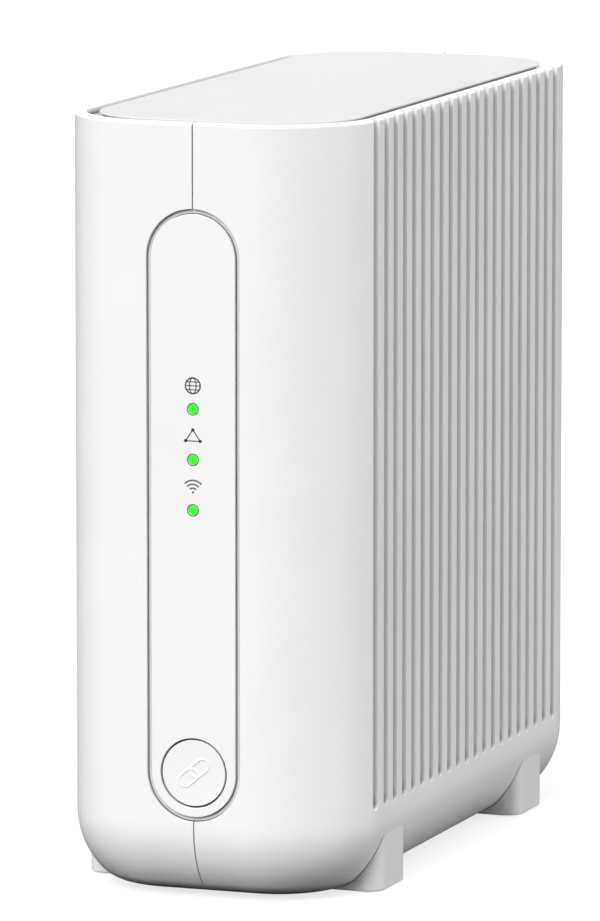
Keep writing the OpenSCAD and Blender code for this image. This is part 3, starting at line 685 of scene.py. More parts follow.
class Skin:
    """Gathers grids and flat patches in millimetres and welds them into one closed mesh."""

    def __init__(self) -> None:
        """Starts empty."""
        self.points: list[np.ndarray] = []
        self.faces: list[list[int]] = []
        self.count = 0

    def _add(self, points: np.ndarray) -> int:
        """Keeps points and gives the number of the first."""
        first = self.count
        self.points.append(points)
        self.count += len(points)
        return first

    def grid(
        self, points: np.ndarray, keep: np.ndarray | None = None, around: bool = False
    ) -> "Skin":
        """Adds a grid of quads.

        Args:
            points: array (m, n, 3).
            keep: which cells to make, array (m - 1, n - 1); all of them when None.
            around: joins the last row to the first.

        Returns:
            This skin.
        """
        if around:
            points = np.concatenate([points, points[:1]])
        rows, columns = points.shape[:2]
        first = self._add(points.reshape(-1, 3))
        number = first + np.arange(rows * columns).reshape(rows, columns)
        quads = np.stack([number[:-1, :-1], number[1:, :-1], number[1:, 1:], number[:-1, 1:]], -1)
        chosen = quads.reshape(-1, 4) if keep is None else quads[keep]
        self.faces += chosen.tolist()
        return self

    def patch(self, *loops: np.ndarray) -> "Skin":
        """Adds a flat patch: the first loop less the others, cut into triangles.

        Args:
            loops: arrays (n, 3) of points in one plane.

        Returns:
            This skin.
        """
        clean = [loop[np.linalg.norm(loop - np.roll(loop, 1, 0), axis=1) > 1e-4] for loop in loops]
        first = self._add(np.concatenate(clean))
        triangles = tessellate_polygon([[Vector(p) for p in loop] for loop in clean])
        self.faces += [[first + corner for corner in triangle] for triangle in triangles]
        return self

    def mesh(self, name: str, seam_x: float | None = None) -> bpy.types.Mesh:
        """Welds everything, faces outwards, in metres.

        Args:
            name: the mesh's name.
            seam_x: an upright cut plane whose open edges are filled, in millimetres.

        Returns:
            The mesh.
        """
        mesh = bpy.data.meshes.new(name)
        mesh.from_pydata((np.concatenate(self.points) * MM).tolist(), [], self.faces)
        solid = bmesh.new()
        solid.from_mesh(mesh)
        bmesh.ops.remove_doubles(solid, verts=solid.verts, dist=WELD)
        bmesh.ops.dissolve_degenerate(solid, edges=solid.edges, dist=WELD / 10)
        if seam_x is not None:
            bmesh.ops.triangle_fill(solid, use_beauty=True, edges=seam_edges(solid, seam_x * MM))
        bmesh.ops.recalc_face_normals(solid, faces=solid.faces)
        open_edges = sum(edge.is_boundary for edge in solid.edges)
        if open_edges:
            log.info("%s has %d open edges", name, open_edges)
        solid.to_mesh(mesh)
        solid.free()
        return mesh


def seam_edges(solid: bmesh.types.BMesh, x: float) -> list[bmesh.types.BMEdge]:
    """Open edges that lie in the plane of the seam.

    Args:
        solid: the mesh being closed.
        x: place of the plane, in metres.

    Returns:
        The edges.
    """
    return [e for e in solid.edges if e.is_boundary and all(abs(v.co.x - x) < WELD for v in e.verts)]


def eased(start: float, end: float, ease: float, steps: int = 3) -> tuple[np.ndarray, np.ndarray]:
    """Profile of an edge that turns through a quarter circle at both ends.

    The first turn has grow = ease (sin a - 1) and depth = start + ease (1 - cos a), with a from 0
    to a right angle, and the second is its mirror.

    Args:
        start: depth of the first face.
        end: depth of the second face.
        ease: radius of both turns.
        steps: parts in each turn.

    Returns:
        How far the outline grows at each ring, and that ring's depth.
    """
    angle = quarter(steps)
    way = math.copysign(1.0, end - start)
    grow = ease * (np.sin(angle) - 1)
    depth = ease * (1 - np.cos(angle)) * way
    return np.concatenate([grow, grow[::-1]]), np.concatenate([start + depth, (end - depth)[::-1]])


def rings(outline: Outline, plane: Plane, grow: np.ndarray, depth: np.ndarray) -> np.ndarray:
    """Carries a profile round an outline.

    Args:
        outline: the closed outline.
        plane: the plane that it lies in.
        grow: growth of the outline at each point of the profile.
        depth: depth of each point of the profile.

    Returns:
        Array (points of the outline, points of the profile, 3).
    """
    return np.stack([plane.lift(outline.at(g), d) for g, d in zip(grow, depth)], 1)


@dataclass(frozen=True)
class Cutout:
    """A hole in a slab: right through, or blind to a floor at a given depth."""

    outline: Outline
    floor: float | None = None


@dataclass(frozen=True)
class Slab:
    """A plate with eased edges and holes, from its first face to its second."""

    outline: Outline
    plane: Plane
    start: float
    end: float
    ease: float = 0.25
    cutouts: tuple[Cutout, ...] = ()
    steps: int = 3

    def add_to(self, skin: Skin) -> None:
        """Adds both faces, the eased rim, and each hole's wall and floor.

        Args:
            skin: the skin to add to.
        """
        grow, depth = eased(self.start, self.end, self.ease, self.steps)
        outer = rings(self.outline, self.plane, grow, depth)
        skin.grid(outer, around=True)
        first, second = [outer[:, 0]], [outer[:, -1]]
        for cutout in self.cutouts:
            if cutout.floor is None:
                wall = rings(cutout.outline, self.plane, -grow, depth)
                second.append(wall[:, -1])
            else:
                half = len(grow) // 2
                stop = np.append(depth[:half], cutout.floor)
                wall = rings(cutout.outline, self.plane, -np.append(grow[:half], 0.0), stop)
                skin.patch(wall[:, -1])
            skin.grid(wall, around=True)
            first.append(wall[:, 0])
        skin.patch(*first)
        skin.patch(*second)


def turned(u: float, v: float, plane: Plane, profile: np.ndarray, steps: int = 48) -> np.ndarray:
    """Turns a profile about an axis that is square to a plane.

    A point is (u + r cos a, v + r sin a) at depth t, for each (r, t) of the profile.

    Args:
        u: place of the axis in the plane.
        v: place of the axis in the plane.
        plane: the plane.
        profile: array (n, 2) of radius and depth.
        steps: parts in the whole turn.

    Returns:
        Array (steps, n, 3), to be joined round.
    """
    angle = np.linspace(0, 2 * np.pi, steps, endpoint=False)[:, None]
    radius, depth = profile[None, :, 0], profile[None, :, 1]
    flat = np.stack([u + radius * np.cos(angle), v + radius * np.sin(angle)], -1)
    return plane.lift(flat, np.broadcast_to(depth, flat.shape[:-1]))


def stroke(
    path: np.ndarray,
    plane: Plane,
    face: float,
    width: float,
    height: float,
    closed: bool,
    arch: int = 1,
) -> np.ndarray:
    """Carries a low flat or arched section along a line drawn on a face.

    A point is the path's own, plus its sideways direction times the section's place across, at
    the face less the section's height.

    Args:
        path: array (n, 2) in the plane.
        plane: the plane.
        face: depth of the face that the line stands on, with the line standing towards less.
        width: width of the line.
        height: height of the line.
        closed: whether the path joins up.
        arch: parts in the section's top; one gives a flat line with square sides.

    Returns:
        Array (n, section, 3).
    """
    ahead = np.roll(path, -1, 0) - np.roll(path, 1, 0)
    if not closed:
        ahead[0], ahead[-1] = path[1] - path[0], path[-1] - path[-2]
    ahead /= np.linalg.norm(ahead, axis=1)[:, None]
    aside = np.stack([-ahead[:, 1], ahead[:, 0]], -1)
    if arch == 1:
        across, up = np.array([-0.5, -0.5, 0.5, 0.5, -0.5]), np.array([0.0, 1.0, 1.0, 0.0, 0.0])
    else:
        angle = np.linspace(np.pi, 0, arch + 1)
        across, up = 0.5 * np.cos(angle), np.sin(angle)
        across, up = np.append(across, across[0]), np.append(up, up[0])
    flat = path[:, None] + aside[:, None] * (across * width)[None, :, None]
    return plane.lift(flat, np.broadcast_to(face - height * up, flat.shape[:-1]))


def add_stroke(skin: Skin, section: np.ndarray, closed: bool) -> None:
    """Adds a stroke's surface and, on an open one, its two ends.

    Args:
        skin: the skin to add to.
        section: what stroke() gave.
        closed: whether the path joins up.
    """
    skin.grid(section, around=closed)
    if not closed:
        skin.patch(section[0, :-1])
        skin.patch(section[-1, :-1])


def publish(
    mesh: bpy.types.Mesh,
    slot: Slot,
    nodes: Iterable[str],
    body: str = CASE_BODY,
    finish: Finish | None = None,
    sharp: float = 32.0,
) -> bpy.types.Object:
    """Makes a finished piece of a mesh.

    Args:
        mesh: the mesh, in place.
        slot: the record's slot that it belongs to.
        nodes: the CAD nodes that it stands for.
        body: the body that it rides on.
        finish: what it wears, where that isn't the slot's own finish.
        sharp: edges that turn further than this stay sharp, in degrees.

    Returns:
        The object.
    """
    mesh.polygons.foreach_set("use_smooth", np.ones(len(mesh.polygons), bool))
    mesh.set_sharp_from_angle(angle=math.radians(sharp))
    mesh.materials.append(PAINTS.of(finish or slot.value))
    piece = bpy.data.objects.new(mesh.name, mesh)
    bpy.context.scene.collection.objects.link(piece)
    even = piece.modifiers.new("even_normals", "WEIGHTED_NORMAL")
    even.keep_sharp = True
    even.weight = FACE_WEIGHT
    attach(piece, body)
    if nodes:
        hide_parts(*nodes)
    log.info("%s: %d faces", piece.name, len(mesh.polygons))
    return piece


def slabs_mesh(name: str, slabs: Iterable[Slab]) -> bpy.types.Mesh:
    """One mesh of several slabs."""
    skin = Skin()
    for slab in slabs:
        slab.add_to(skin)
    return skin.mesh(name)


# ---------- Case ----------


@dataclass
class LowerEdge:
    """Rounding under the case: an arc beside the wall that runs on into one beside the underside.

    With inset measured in from the side, the upper arc is centred at (side_r, top) and the lower
    at (reach, base + under_r); a skin inside the case has both radii shortened by its own inset.
    """

    base: float
    reach: float = 12.5
    side_r: float = 20.4
    under_r: float = 9.5

    @property
    def top(self) -> float:
        """Height at which the wall becomes upright."""
        fall = math.sqrt((self.side_r - self.under_r) ** 2 - (self.side_r - self.reach) ** 2)
        return self.base + self.under_r + fall

    @property
    def meet(self) -> float:
        """Angle below the level at which the two arcs meet."""
        return math.atan2(self.top - self.base - self.under_r, self.side_r - self.reach)

    def profile(self, skin_in: float, steps: int = 9) -> np.ndarray:
        """Inset and height from the underside up to the wall.

        Args:
            skin_in: inset of this skin from the outer one.
            steps: parts in each arc.

        Returns:
            Array (n, 2).
        """
        lower = np.linspace(np.pi / 2, self.meet, steps + 1)
        upper = np.linspace(self.meet, 0, steps + 1)[1:]
        under, side = self.under_r - skin_in, self.side_r - skin_in
        lower_z = self.base + self.under_r - under * np.sin(lower)
        lower_points = np.stack([self.reach - under * np.cos(lower), lower_z], -1)
        upper_z = self.top - side * np.sin(upper)
        upper_points = np.stack([self.side_r - side * np.cos(upper), upper_z], -1)
        return np.concatenate([lower_points, upper_points])

    def height_at(self, inset: np.ndarray, gap: float) -> np.ndarray:
        """Height of the rounding, moved outwards by gap.

        Args:
            inset: distance in from the side of the case.
            gap: clearance below the case.

        Returns:
            The heights, one for each inset.
        """
        under, side = self.under_r + gap, self.side_r + gap
        under_fall = np.sqrt(np.maximum(under**2 - (self.reach - inset) ** 2, 0))
        on_under = self.base + self.under_r - under_fall
        on_side = self.top - np.sqrt(np.maximum(side**2 - (self.side_r - inset) ** 2, 0))
        turn = self.side_r - side * math.cos(self.meet)
        flat = self.base - gap
        return np.where(inset > self.reach, flat, np.where(inset > turn, on_under, on_side))


@dataclass
class Grooves:
    """Upright round-bottomed grooves in a side, each with a ball end at its foot.

    SHARES places the mesh's lines, as parts of a groove's half width.
    """

    SHARES: ClassVar[tuple[float, ...]] = (0.28, 0.55, 0.76, 0.9, 1.0, 1.1, 1.28)

    count: int = 21
    pitch: float = 6.5
    first_in: float = 22.5
    radius: float = 1.5
    depth: float = 1.4
    tip: float = 20.6
    soften: float = 0.16

    @property
    def half_width(self) -> float:
        """Half the width of a groove at the face."""
        return math.sqrt(self.radius**2 - (self.radius - self.depth) ** 2)

    @property
    def ball(self) -> float:
        """Height of the ball's middle."""
        return self.tip + self.half_width

    @property
    def across(self) -> np.ndarray:
        """Distances from a groove's middle line at which the mesh has a line."""
        half = self.half_width
        shares = np.array([0.0, *self.SHARES])
        return np.concatenate([-half * shares[:0:-1], half * shares])

    def middles(self, front: float) -> np.ndarray:
        """Middle line of each groove along the depth of the case."""
        return front + self.first_in + self.pitch * np.arange(self.count)

    def rows(self) -> np.ndarray:
        """Heights at which the mesh has a line, for the ball ends."""
        return self.ball - self.half_width * np.array([-0.25, 0.0, *self.SHARES])

    def carve(self, points: np.ndarray, front: float, side: float) -> np.ndarray:
        """Presses the grooves into a skin on the +X side.

        The groove's surface is its axis less the root of radius squared less the squares of the
        distance from its middle line and of the distance below the ball's middle. The skin takes
        the lesser of its own X and that one, eased over a short stretch where they cross.

        Args:
            points: array (..., 3), changed in place.
            front: front of the case.
            side: the side face's X.

        Returns:
            The same points.
        """
        along = (points[..., 1] - front - self.first_in) / self.pitch
        nearest = np.clip(np.round(along), 0, self.count - 1)
        off = (along - nearest) * self.pitch
        below = np.maximum(self.ball - points[..., 2], 0)
        room = self.radius**2 - off**2 - below**2
        floor = side + self.radius - self.depth - np.sqrt(np.maximum(room, 0))
        floor = np.where(room > 0, floor, side + self.radius)
        gap = np.maximum(self.soften - np.abs(floor - points[..., 0]), 0) / self.soften
        points[..., 0] = np.minimum(points[..., 0], floor) - gap**2 * self.soften / 4
        return points


def rows_between(profile: np.ndarray, inset: float, low: float, high: float) -> np.ndarray:
    """Numbers of the profile's points at one inset and between two heights, from the lowest up.

    Args:
        profile: array (n, 2) of inset and height.
        inset: the inset.
        low: least height.
        high: greatest height.

    Returns:
        The numbers.
    """
    near = np.abs(profile[:, 0] - inset) < NEAR
    rows = np.flatnonzero(near & (profile[:, 1] > low - NEAR) & (profile[:, 1] < high + NEAR))
    return rows[np.argsort(profile[rows, 1])]


@dataclass
class CaseHalf:
    """One half of the case: a profile carried round half the plan, from seam to seam.

    The plan is a rounded rectangle. Each station of it has a centre and an outward direction, and
    the skin at a given inset is centre + direction * (corner - inset). BOSS is the profile of the
    well round a screw, as radius and height over the underside.
    """

    BOSS: ClassVar[tuple[tuple[float, float], ...]] = (
        (3.1, 0.0),
        (3.0, 0.1),
        (3.0, 2.2),
        (1.7, 2.2),
        (1.7, 3.8),
        (3.9, 3.8),
        (3.9, 2.2),
    )

    side: int
    corner: float = 25.5
    wall: float = 2.2
    rim: float = 2.8
    rim_round: float = 0.8
    rim_inner_round: float = 0.3
    ledge: float = 3.2
    ledge_t: float = 1.8
    seat_drop: float = 4.0
    pill_ease: float = 0.14
    sleeve_t: float = 0.7
    fit_gap: float = 0.15
    vent_count: int = 9
    vent_pitch: float = 9.0
    vent_w: float = 3.0
    vent_x: tuple[float, float] = (7.0, 20.0)
    vent_corner: float = 0.7
    vent_ease: float = 0.2
    panel_lap: float = 2.4
    over_pill: float = 1.4
    screw_x: float = 14.0
    screw_in: float = 32.0
    corner_parts: int = 20
    pill_points: int = 25
    line_gap: float = 0.01
    grooves: Grooves = field(default_factory=Grooves)

    def __post_init__(self) -> None:
        """Reads the sizes that the frame gives."""
        low, high = box_mm("case_right")
        self.seam = low[0]
        self.half_w, self.half_d = high[0], high[1]
        self.base, self.top = low[2], high[2]
        self.lower = LowerEdge(self.base)
        trim_low, trim_high = box_mm("trim_ring")
        self.pill_r = trim_high[0] + self.fit_gap
        self.pill_z = (trim_low[2] - self.fit_gap, trim_high[2] + self.fit_gap)
        panel_low, panel_high = box_mm("rear_panel")
        lap = self.panel_lap - self.fit_gap
        self.alcove_x = panel_high[0] - lap
        self.alcove_z = (panel_low[2] + lap, panel_high[2] - lap)
        self.alcove_floor = panel_high[1] + self.fit_gap

    @property
    def patch_top(self) -> float:
        """Height up to which the front is a flat patch round the pill opening."""
        return self.pill_z[1] + self.over_pill

    def stations(self) -> tuple[np.ndarray, np.ndarray]:
        """Centres and outward directions round the half plan.

        Returns:
            Two arrays (n, 2).
        """
        flat_x, flat_y = self.half_w - self.corner, self.half_d - self.corner
        front_x = np.linspace(self.seam, flat_x, 4)
        middles = self.grooves.middles(-self.half_d)
        side_y = (middles[:, None] + self.grooves.across).ravel()
        on_corner = side_y[side_y < -flat_y]
        side_y = side_y[side_y > -flat_y + self.line_gap]
        bend = np.arcsin((-flat_y - on_corner) / self.corner)
        turn = quarter(self.corner_parts)
        front_turn = np.unique(np.concatenate([turn, np.pi / 2 - bend]))
        alcove_turn = math.asin((self.alcove_x - flat_x) / self.corner)
        rear_turn = np.unique(np.concatenate([turn, [alcove_turn]]))[::-1]
        centres = np.concatenate(
            [
                np.stack([front_x, np.full_like(front_x, -flat_y)], -1),
                np.tile([flat_x, -flat_y], (len(front_turn), 1)),
                np.stack([np.full_like(side_y, flat_x), side_y], -1),
                np.tile([flat_x, flat_y], (len(rear_turn), 1)),
                np.stack([front_x[::-1], np.full_like(front_x, flat_y)], -1),
            ]
        )
        directions = np.concatenate(
            [
                np.tile([0.0, -1.0], (len(front_x), 1)),
                np.stack([np.sin(front_turn), -np.cos(front_turn)], -1),
                np.tile([1.0, 0.0], (len(side_y), 1)),
                np.stack([np.sin(rear_turn), np.cos(rear_turn)], -1),
                np.tile([0.0, 1.0], (len(front_x), 1)),
            ]
        )
        spot = centres + directions * self.corner
        fresh = np.append(True, np.linalg.norm(np.diff(spot, axis=0), axis=1) > NEAR)
        return centres[fresh], directions[fresh]

    def wall_rows(self) -> np.ndarray:
        """Heights of the lines on the upright wall, from the lower edge to below the ledge."""
        rows = [[self.lower.top], self.grooves.rows(), self.alcove_z, [self.patch_top]]
        return np.unique(np.concatenate(rows))

    def profile(self) -> tuple[np.ndarray, int]:
        """Inset and height all the way over the rim, from the underside to the inner floor.

        Returns:
            Array (n, 2), and how many of its points are on the outer skin.
        """
        rows = self.wall_rows()
        angle = quarter(5)
        turn = self.rim_round
        fillet = [turn * (1 - np.cos(angle)), self.top - turn + turn * np.sin(angle)]
        inner = self.rim_inner_round
        inner_x = self.rim - inner + inner * np.sin(angle)
        inner_fillet = [inner_x, self.top - inner + inner * np.cos(angle)]
        seat = self.top - self.seat_drop
        ledge_in = self.rim + self.ledge
        under = seat - self.ledge_t
        shelf = [[self.rim, seat], [ledge_in, seat], [ledge_in, under], [self.wall, under]]
        upright = np.stack([0 * rows[1:], rows[1:]], -1)
        outer = np.concatenate([self.lower.profile(0), upright, np.stack(fillet, -1)])
        inside = np.concatenate(
            [
                np.stack(inner_fillet, -1),
                np.array(shelf),
                np.stack([0 * rows[:0:-1] + self.wall, rows[:0:-1]], -1),
                self.lower.profile(self.wall)[::-1],
            ]
        )
        return np.concatenate([outer, inside]), len(outer)

    def pill_path(self, grow: float) -> np.ndarray:
        """Half of the pill opening's outline, from the seam below to the seam above.

        Both ends are arcs about the pill's ends, and the side between them is straight.

        Args:
            grow: distance outwards from the opening.

        Returns:
            Array (n, 2) of X and height.
        """
        radius = self.pill_r + grow
        lean = math.asin(self.seam / radius)
        angle = np.linspace(lean, np.pi / 2, self.pill_points)
        low, high = self.pill_z[0] + self.pill_r, self.pill_z[1] - self.pill_r
        lower = np.stack([radius * np.sin(angle), low - radius * np.cos(angle)], -1)
        upper = np.stack([radius * np.sin(angle), high + radius * np.cos(angle)], -1)[::-1]
        return np.concatenate([lower, upper])

    def build(self) -> bpy.types.Object:
        """Makes the half.

        Returns:
            The object.
        """
        skin = Skin()
        centres, directions = self.stations()
        profile, outer_count = self.profile()
        reach = self.corner - profile[:, 0]
        flat = centres[:, None] + directions[:, None] * reach[None, :, None]
        points = Plane.LEVEL.lift(flat, np.broadcast_to(profile[:, 1], flat.shape[:-1]))
        self.grooves.carve(points[:, :outer_count], -self.half_d, self.half_w)
        self._add_walls(skin, points, centres, directions, profile)
        self._add_front(skin, points, profile)
        self._add_alcove(skin, points, profile)
        self._add_floor(skin, points)
        for part in skin.points:
            part[:, 0] *= self.side
        name = "case_right_shell" if self.side > 0 else "case_left_shell"
        node = "case_right" if self.side > 0 else "case_left"
        mesh = skin.mesh(name, self.side * self.seam)
        return publish(mesh, Slot.CASE_WHITE, [node], sharp=36.0)

    def _add_walls(
        self,
        skin: Skin,
        points: np.ndarray,
        centres: np.ndarray,
        directions: np.ndarray,
        profile: np.ndarray,
    ) -> None:
        """Adds the skin's cells, less those of the front opening and of the rear recess."""
        flat_x = self.half_w - self.corner
        spot_x = (centres + directions * self.corner)[:, 0]
        inner_x = (centres + directions * (self.corner - self.wall))[:, 0]
        behind = directions[:, 1] > 0
        self.alcove_at = int(np.argmin(np.abs(spot_x - self.alcove_x) + ~behind * FAR))
        self.sleeve_at = int(np.flatnonzero(behind & (inner_x > self.alcove_x + self.sleeve_t))[-1])
        front = (directions[:, 1] < NEAR - 1) & (spot_x < flat_x + NEAR)
        column = np.arange(len(points) - 1)
        middle = (profile[:-1, 1] + profile[1:, 1]) / 2
        upright = np.abs(profile[:-1, 0] - profile[1:, 0]) < NEAR
        in_front = upright & (middle > self.lower.top) & (middle < self.patch_top)
        in_rear = upright & (middle > self.alcove_z[0]) & (middle < self.alcove_z[1])
        keep = np.ones((len(points) - 1, len(profile) - 1), bool)
        keep[np.ix_(front[:-1] & front[1:], in_front)] = False
        outside = np.maximum(profile[:-1, 0], profile[1:, 0]) < NEAR
        keep[np.ix_(column >= self.alcove_at, in_rear & outside)] = False
        keep[np.ix_(column >= self.sleeve_at, in_rear & ~outside)] = False
        skin.grid(points, keep)

    def _add_front(self, skin: Skin, points: np.ndarray, profile: np.ndarray) -> None:
        """Adds the flat patches round the front opening, outside and inside, and its eased edge."""
        flat_x = self.half_w - self.corner
        low, high = self.lower.top, self.patch_top
        line = points[:, 3]
        at_edge = np.argmin(np.abs(line[:, 0] - flat_x) + (line[:, 1] > 0) * FAR)
        strip = points[: at_edge + 1]
        for inset, ease in ((0.0, self.pill_ease), (self.wall, 0.0)):
            face = -self.half_d + inset
            rows = rows_between(profile, inset, low, high)
            below, above = strip[:, rows[0]], strip[::-1, rows[-1]]
            beside = strip[-1, rows[1:-1]]
            opening = Plane.UPRIGHT.lift(self.pill_path(ease), face)[::-1]
            skin.patch(np.concatenate([below, beside, above, opening]))
        angle = quarter(3)
        grow = np.append(self.pill_ease * (1 - np.sin(angle)), 0.0)
        turn = -self.half_d + self.pill_ease * (1 - np.cos(angle))
        depth = np.append(turn, -self.half_d + self.wall)
        edge = [Plane.UPRIGHT.lift(self.pill_path(g), d) for g, d in zip(grow, depth)]
        skin.grid(np.stack(edge, 1))

    def _add_alcove(self, skin: Skin, points: np.ndarray, profile: np.ndarray) -> None:
        """Adds the wall round the rear recess, from the outer skin in to the panel and back.

        The inner skin opens wider than the outer one, so the outer path waits at its corners.
        """
        low, high = self.alcove_z
        paths = []
        for inset, first in ((0.0, self.alcove_at), (self.wall, self.sleeve_at)):
            rows = rows_between(profile, inset, low, high)
            stay = first - self.sleeve_at
            bottom, top = points[:first:-1, rows[0]], points[first + 1 :, rows[-1]]
            at_bottom = np.tile(points[first, rows[0]], (stay, 1))
            at_top = np.tile(points[first, rows[-1]], (stay, 1))
            paths.append(np.concatenate([bottom, at_bottom, points[first, rows], at_top, top]))
        outer, inner = paths
        panel = outer.copy()
        panel[:, 1] = self.alcove_floor
        back = panel.copy()
        back[:, 0] += np.where(outer[:, 0] > self.alcove_x - NEAR, self.sleeve_t, 0)
        back[:, 2] += np.where(outer[:, 2] < low + NEAR, -self.sleeve_t, 0)
        back[:, 2] += np.where(outer[:, 2] > high - NEAR, self.sleeve_t, 0)
        skin.grid(np.stack([outer, panel, back, inner], 1))

    def _add_floor(self, skin: Skin, points: np.ndarray) -> None:
        """Adds the underside, inside and out, with its vents and screw wells."""
        low, high = self.base, self.base + self.wall
        outside, inside = [points[:, 0]], [points[:, -1]]
        middle = (self.vent_x[0] + self.vent_x[1]) / 2
        half = (self.vent_x[1] - self.vent_x[0]) / 2
        grow, depth = eased(low, high, self.vent_ease, 2)
        walls = []
        for i in range(self.vent_count):
            y = (i - (self.vent_count - 1) / 2) * self.vent_pitch
            slot = RoundRect(middle, y, half, self.vent_w / 2, self.vent_corner, 4)
            walls.append(rings(slot, Plane.LEVEL, -grow, depth))
        boss = np.array(self.BOSS) + [0, low]
        for end in (-1, 1):
            screw_y = end * (self.half_d - self.screw_in)
            walls.append(turned(self.screw_x, screw_y, Plane.LEVEL, boss, 32))
        for wall in walls:
            skin.grid(wall, around=True)
            outside.append(wall[:, 0])
            inside.append(wall[:, -1])
        skin.patch(*outside)
        skin.patch(*inside)


@dataclass
class Top:
    """Tray in the top of the case and the flat cover that sits in it, on a narrower foot."""

    cover_ease: float = 0.25
    lip_t: float = 0.6
    lip_w: float = 0.8
    pocket_gap: float = 0.15
    floor_drop: float = 1.0
    cover_corner: float = 20.0
    tray_corner: float = 22.55
    tray_ease: float = 0.12
    tray_shade: float = 0.4
    foot_ease: float = 0.1
    foot_lap: float = 0.05

    def build(self) -> list[bpy.types.Object]:
        """Makes both pieces.

        Returns:
            The objects.
        """
        low, high = box_mm("top_cover")
        corner = self.cover_corner
        foot_x, foot_y, foot_corner = (size - self.lip_w for size in (high[0], high[1], corner))
        lip_under = high[2] - self.lip_t
        lip_outline = RoundRect(0, 0, high[0], high[1], corner, 20)
        lip = Slab(lip_outline, Plane.LEVEL, high[2], lip_under, self.cover_ease, (), 5)
        foot_outline = RoundRect(0, 0, foot_x, foot_y, foot_corner, 20)
        foot_top = lip_under + self.foot_lap
        foot = Slab(foot_outline, Plane.LEVEL, foot_top, low[2], self.foot_ease, (), 2)
        tray_low, tray_high = box_mm("top_tray")
        gap = self.pocket_gap
        pocket = RoundRect(0, 0, foot_x + gap, foot_y + gap, foot_corner + gap, 20)
        cut = Cutout(pocket, tray_high[2] - self.floor_drop - gap)
        outline = RoundRect(0, 0, tray_high[0], tray_high[1], self.tray_corner, 20)
        tray = Slab(outline, Plane.LEVEL, tray_high[2], tray_low[2], self.tray_ease, (cut,), 2)
        white = Slot.CASE_WHITE
        # The tray floor darkens down in the channel: painted shade.
        floor_finish = replace(white.value, name="tray_white", dust_and_shade=self.tray_shade)
        cover_mesh = slabs_mesh("top_cover_plate", [lip, foot])
        tray_mesh = slabs_mesh("top_tray_floor", [tray])
        return [
            publish(cover_mesh, Slot.COVER_GREY, ["top_cover"]),
            publish(tray_mesh, white, ["top_tray"], finish=floor_finish),
        ]


# ---------- Front ----------


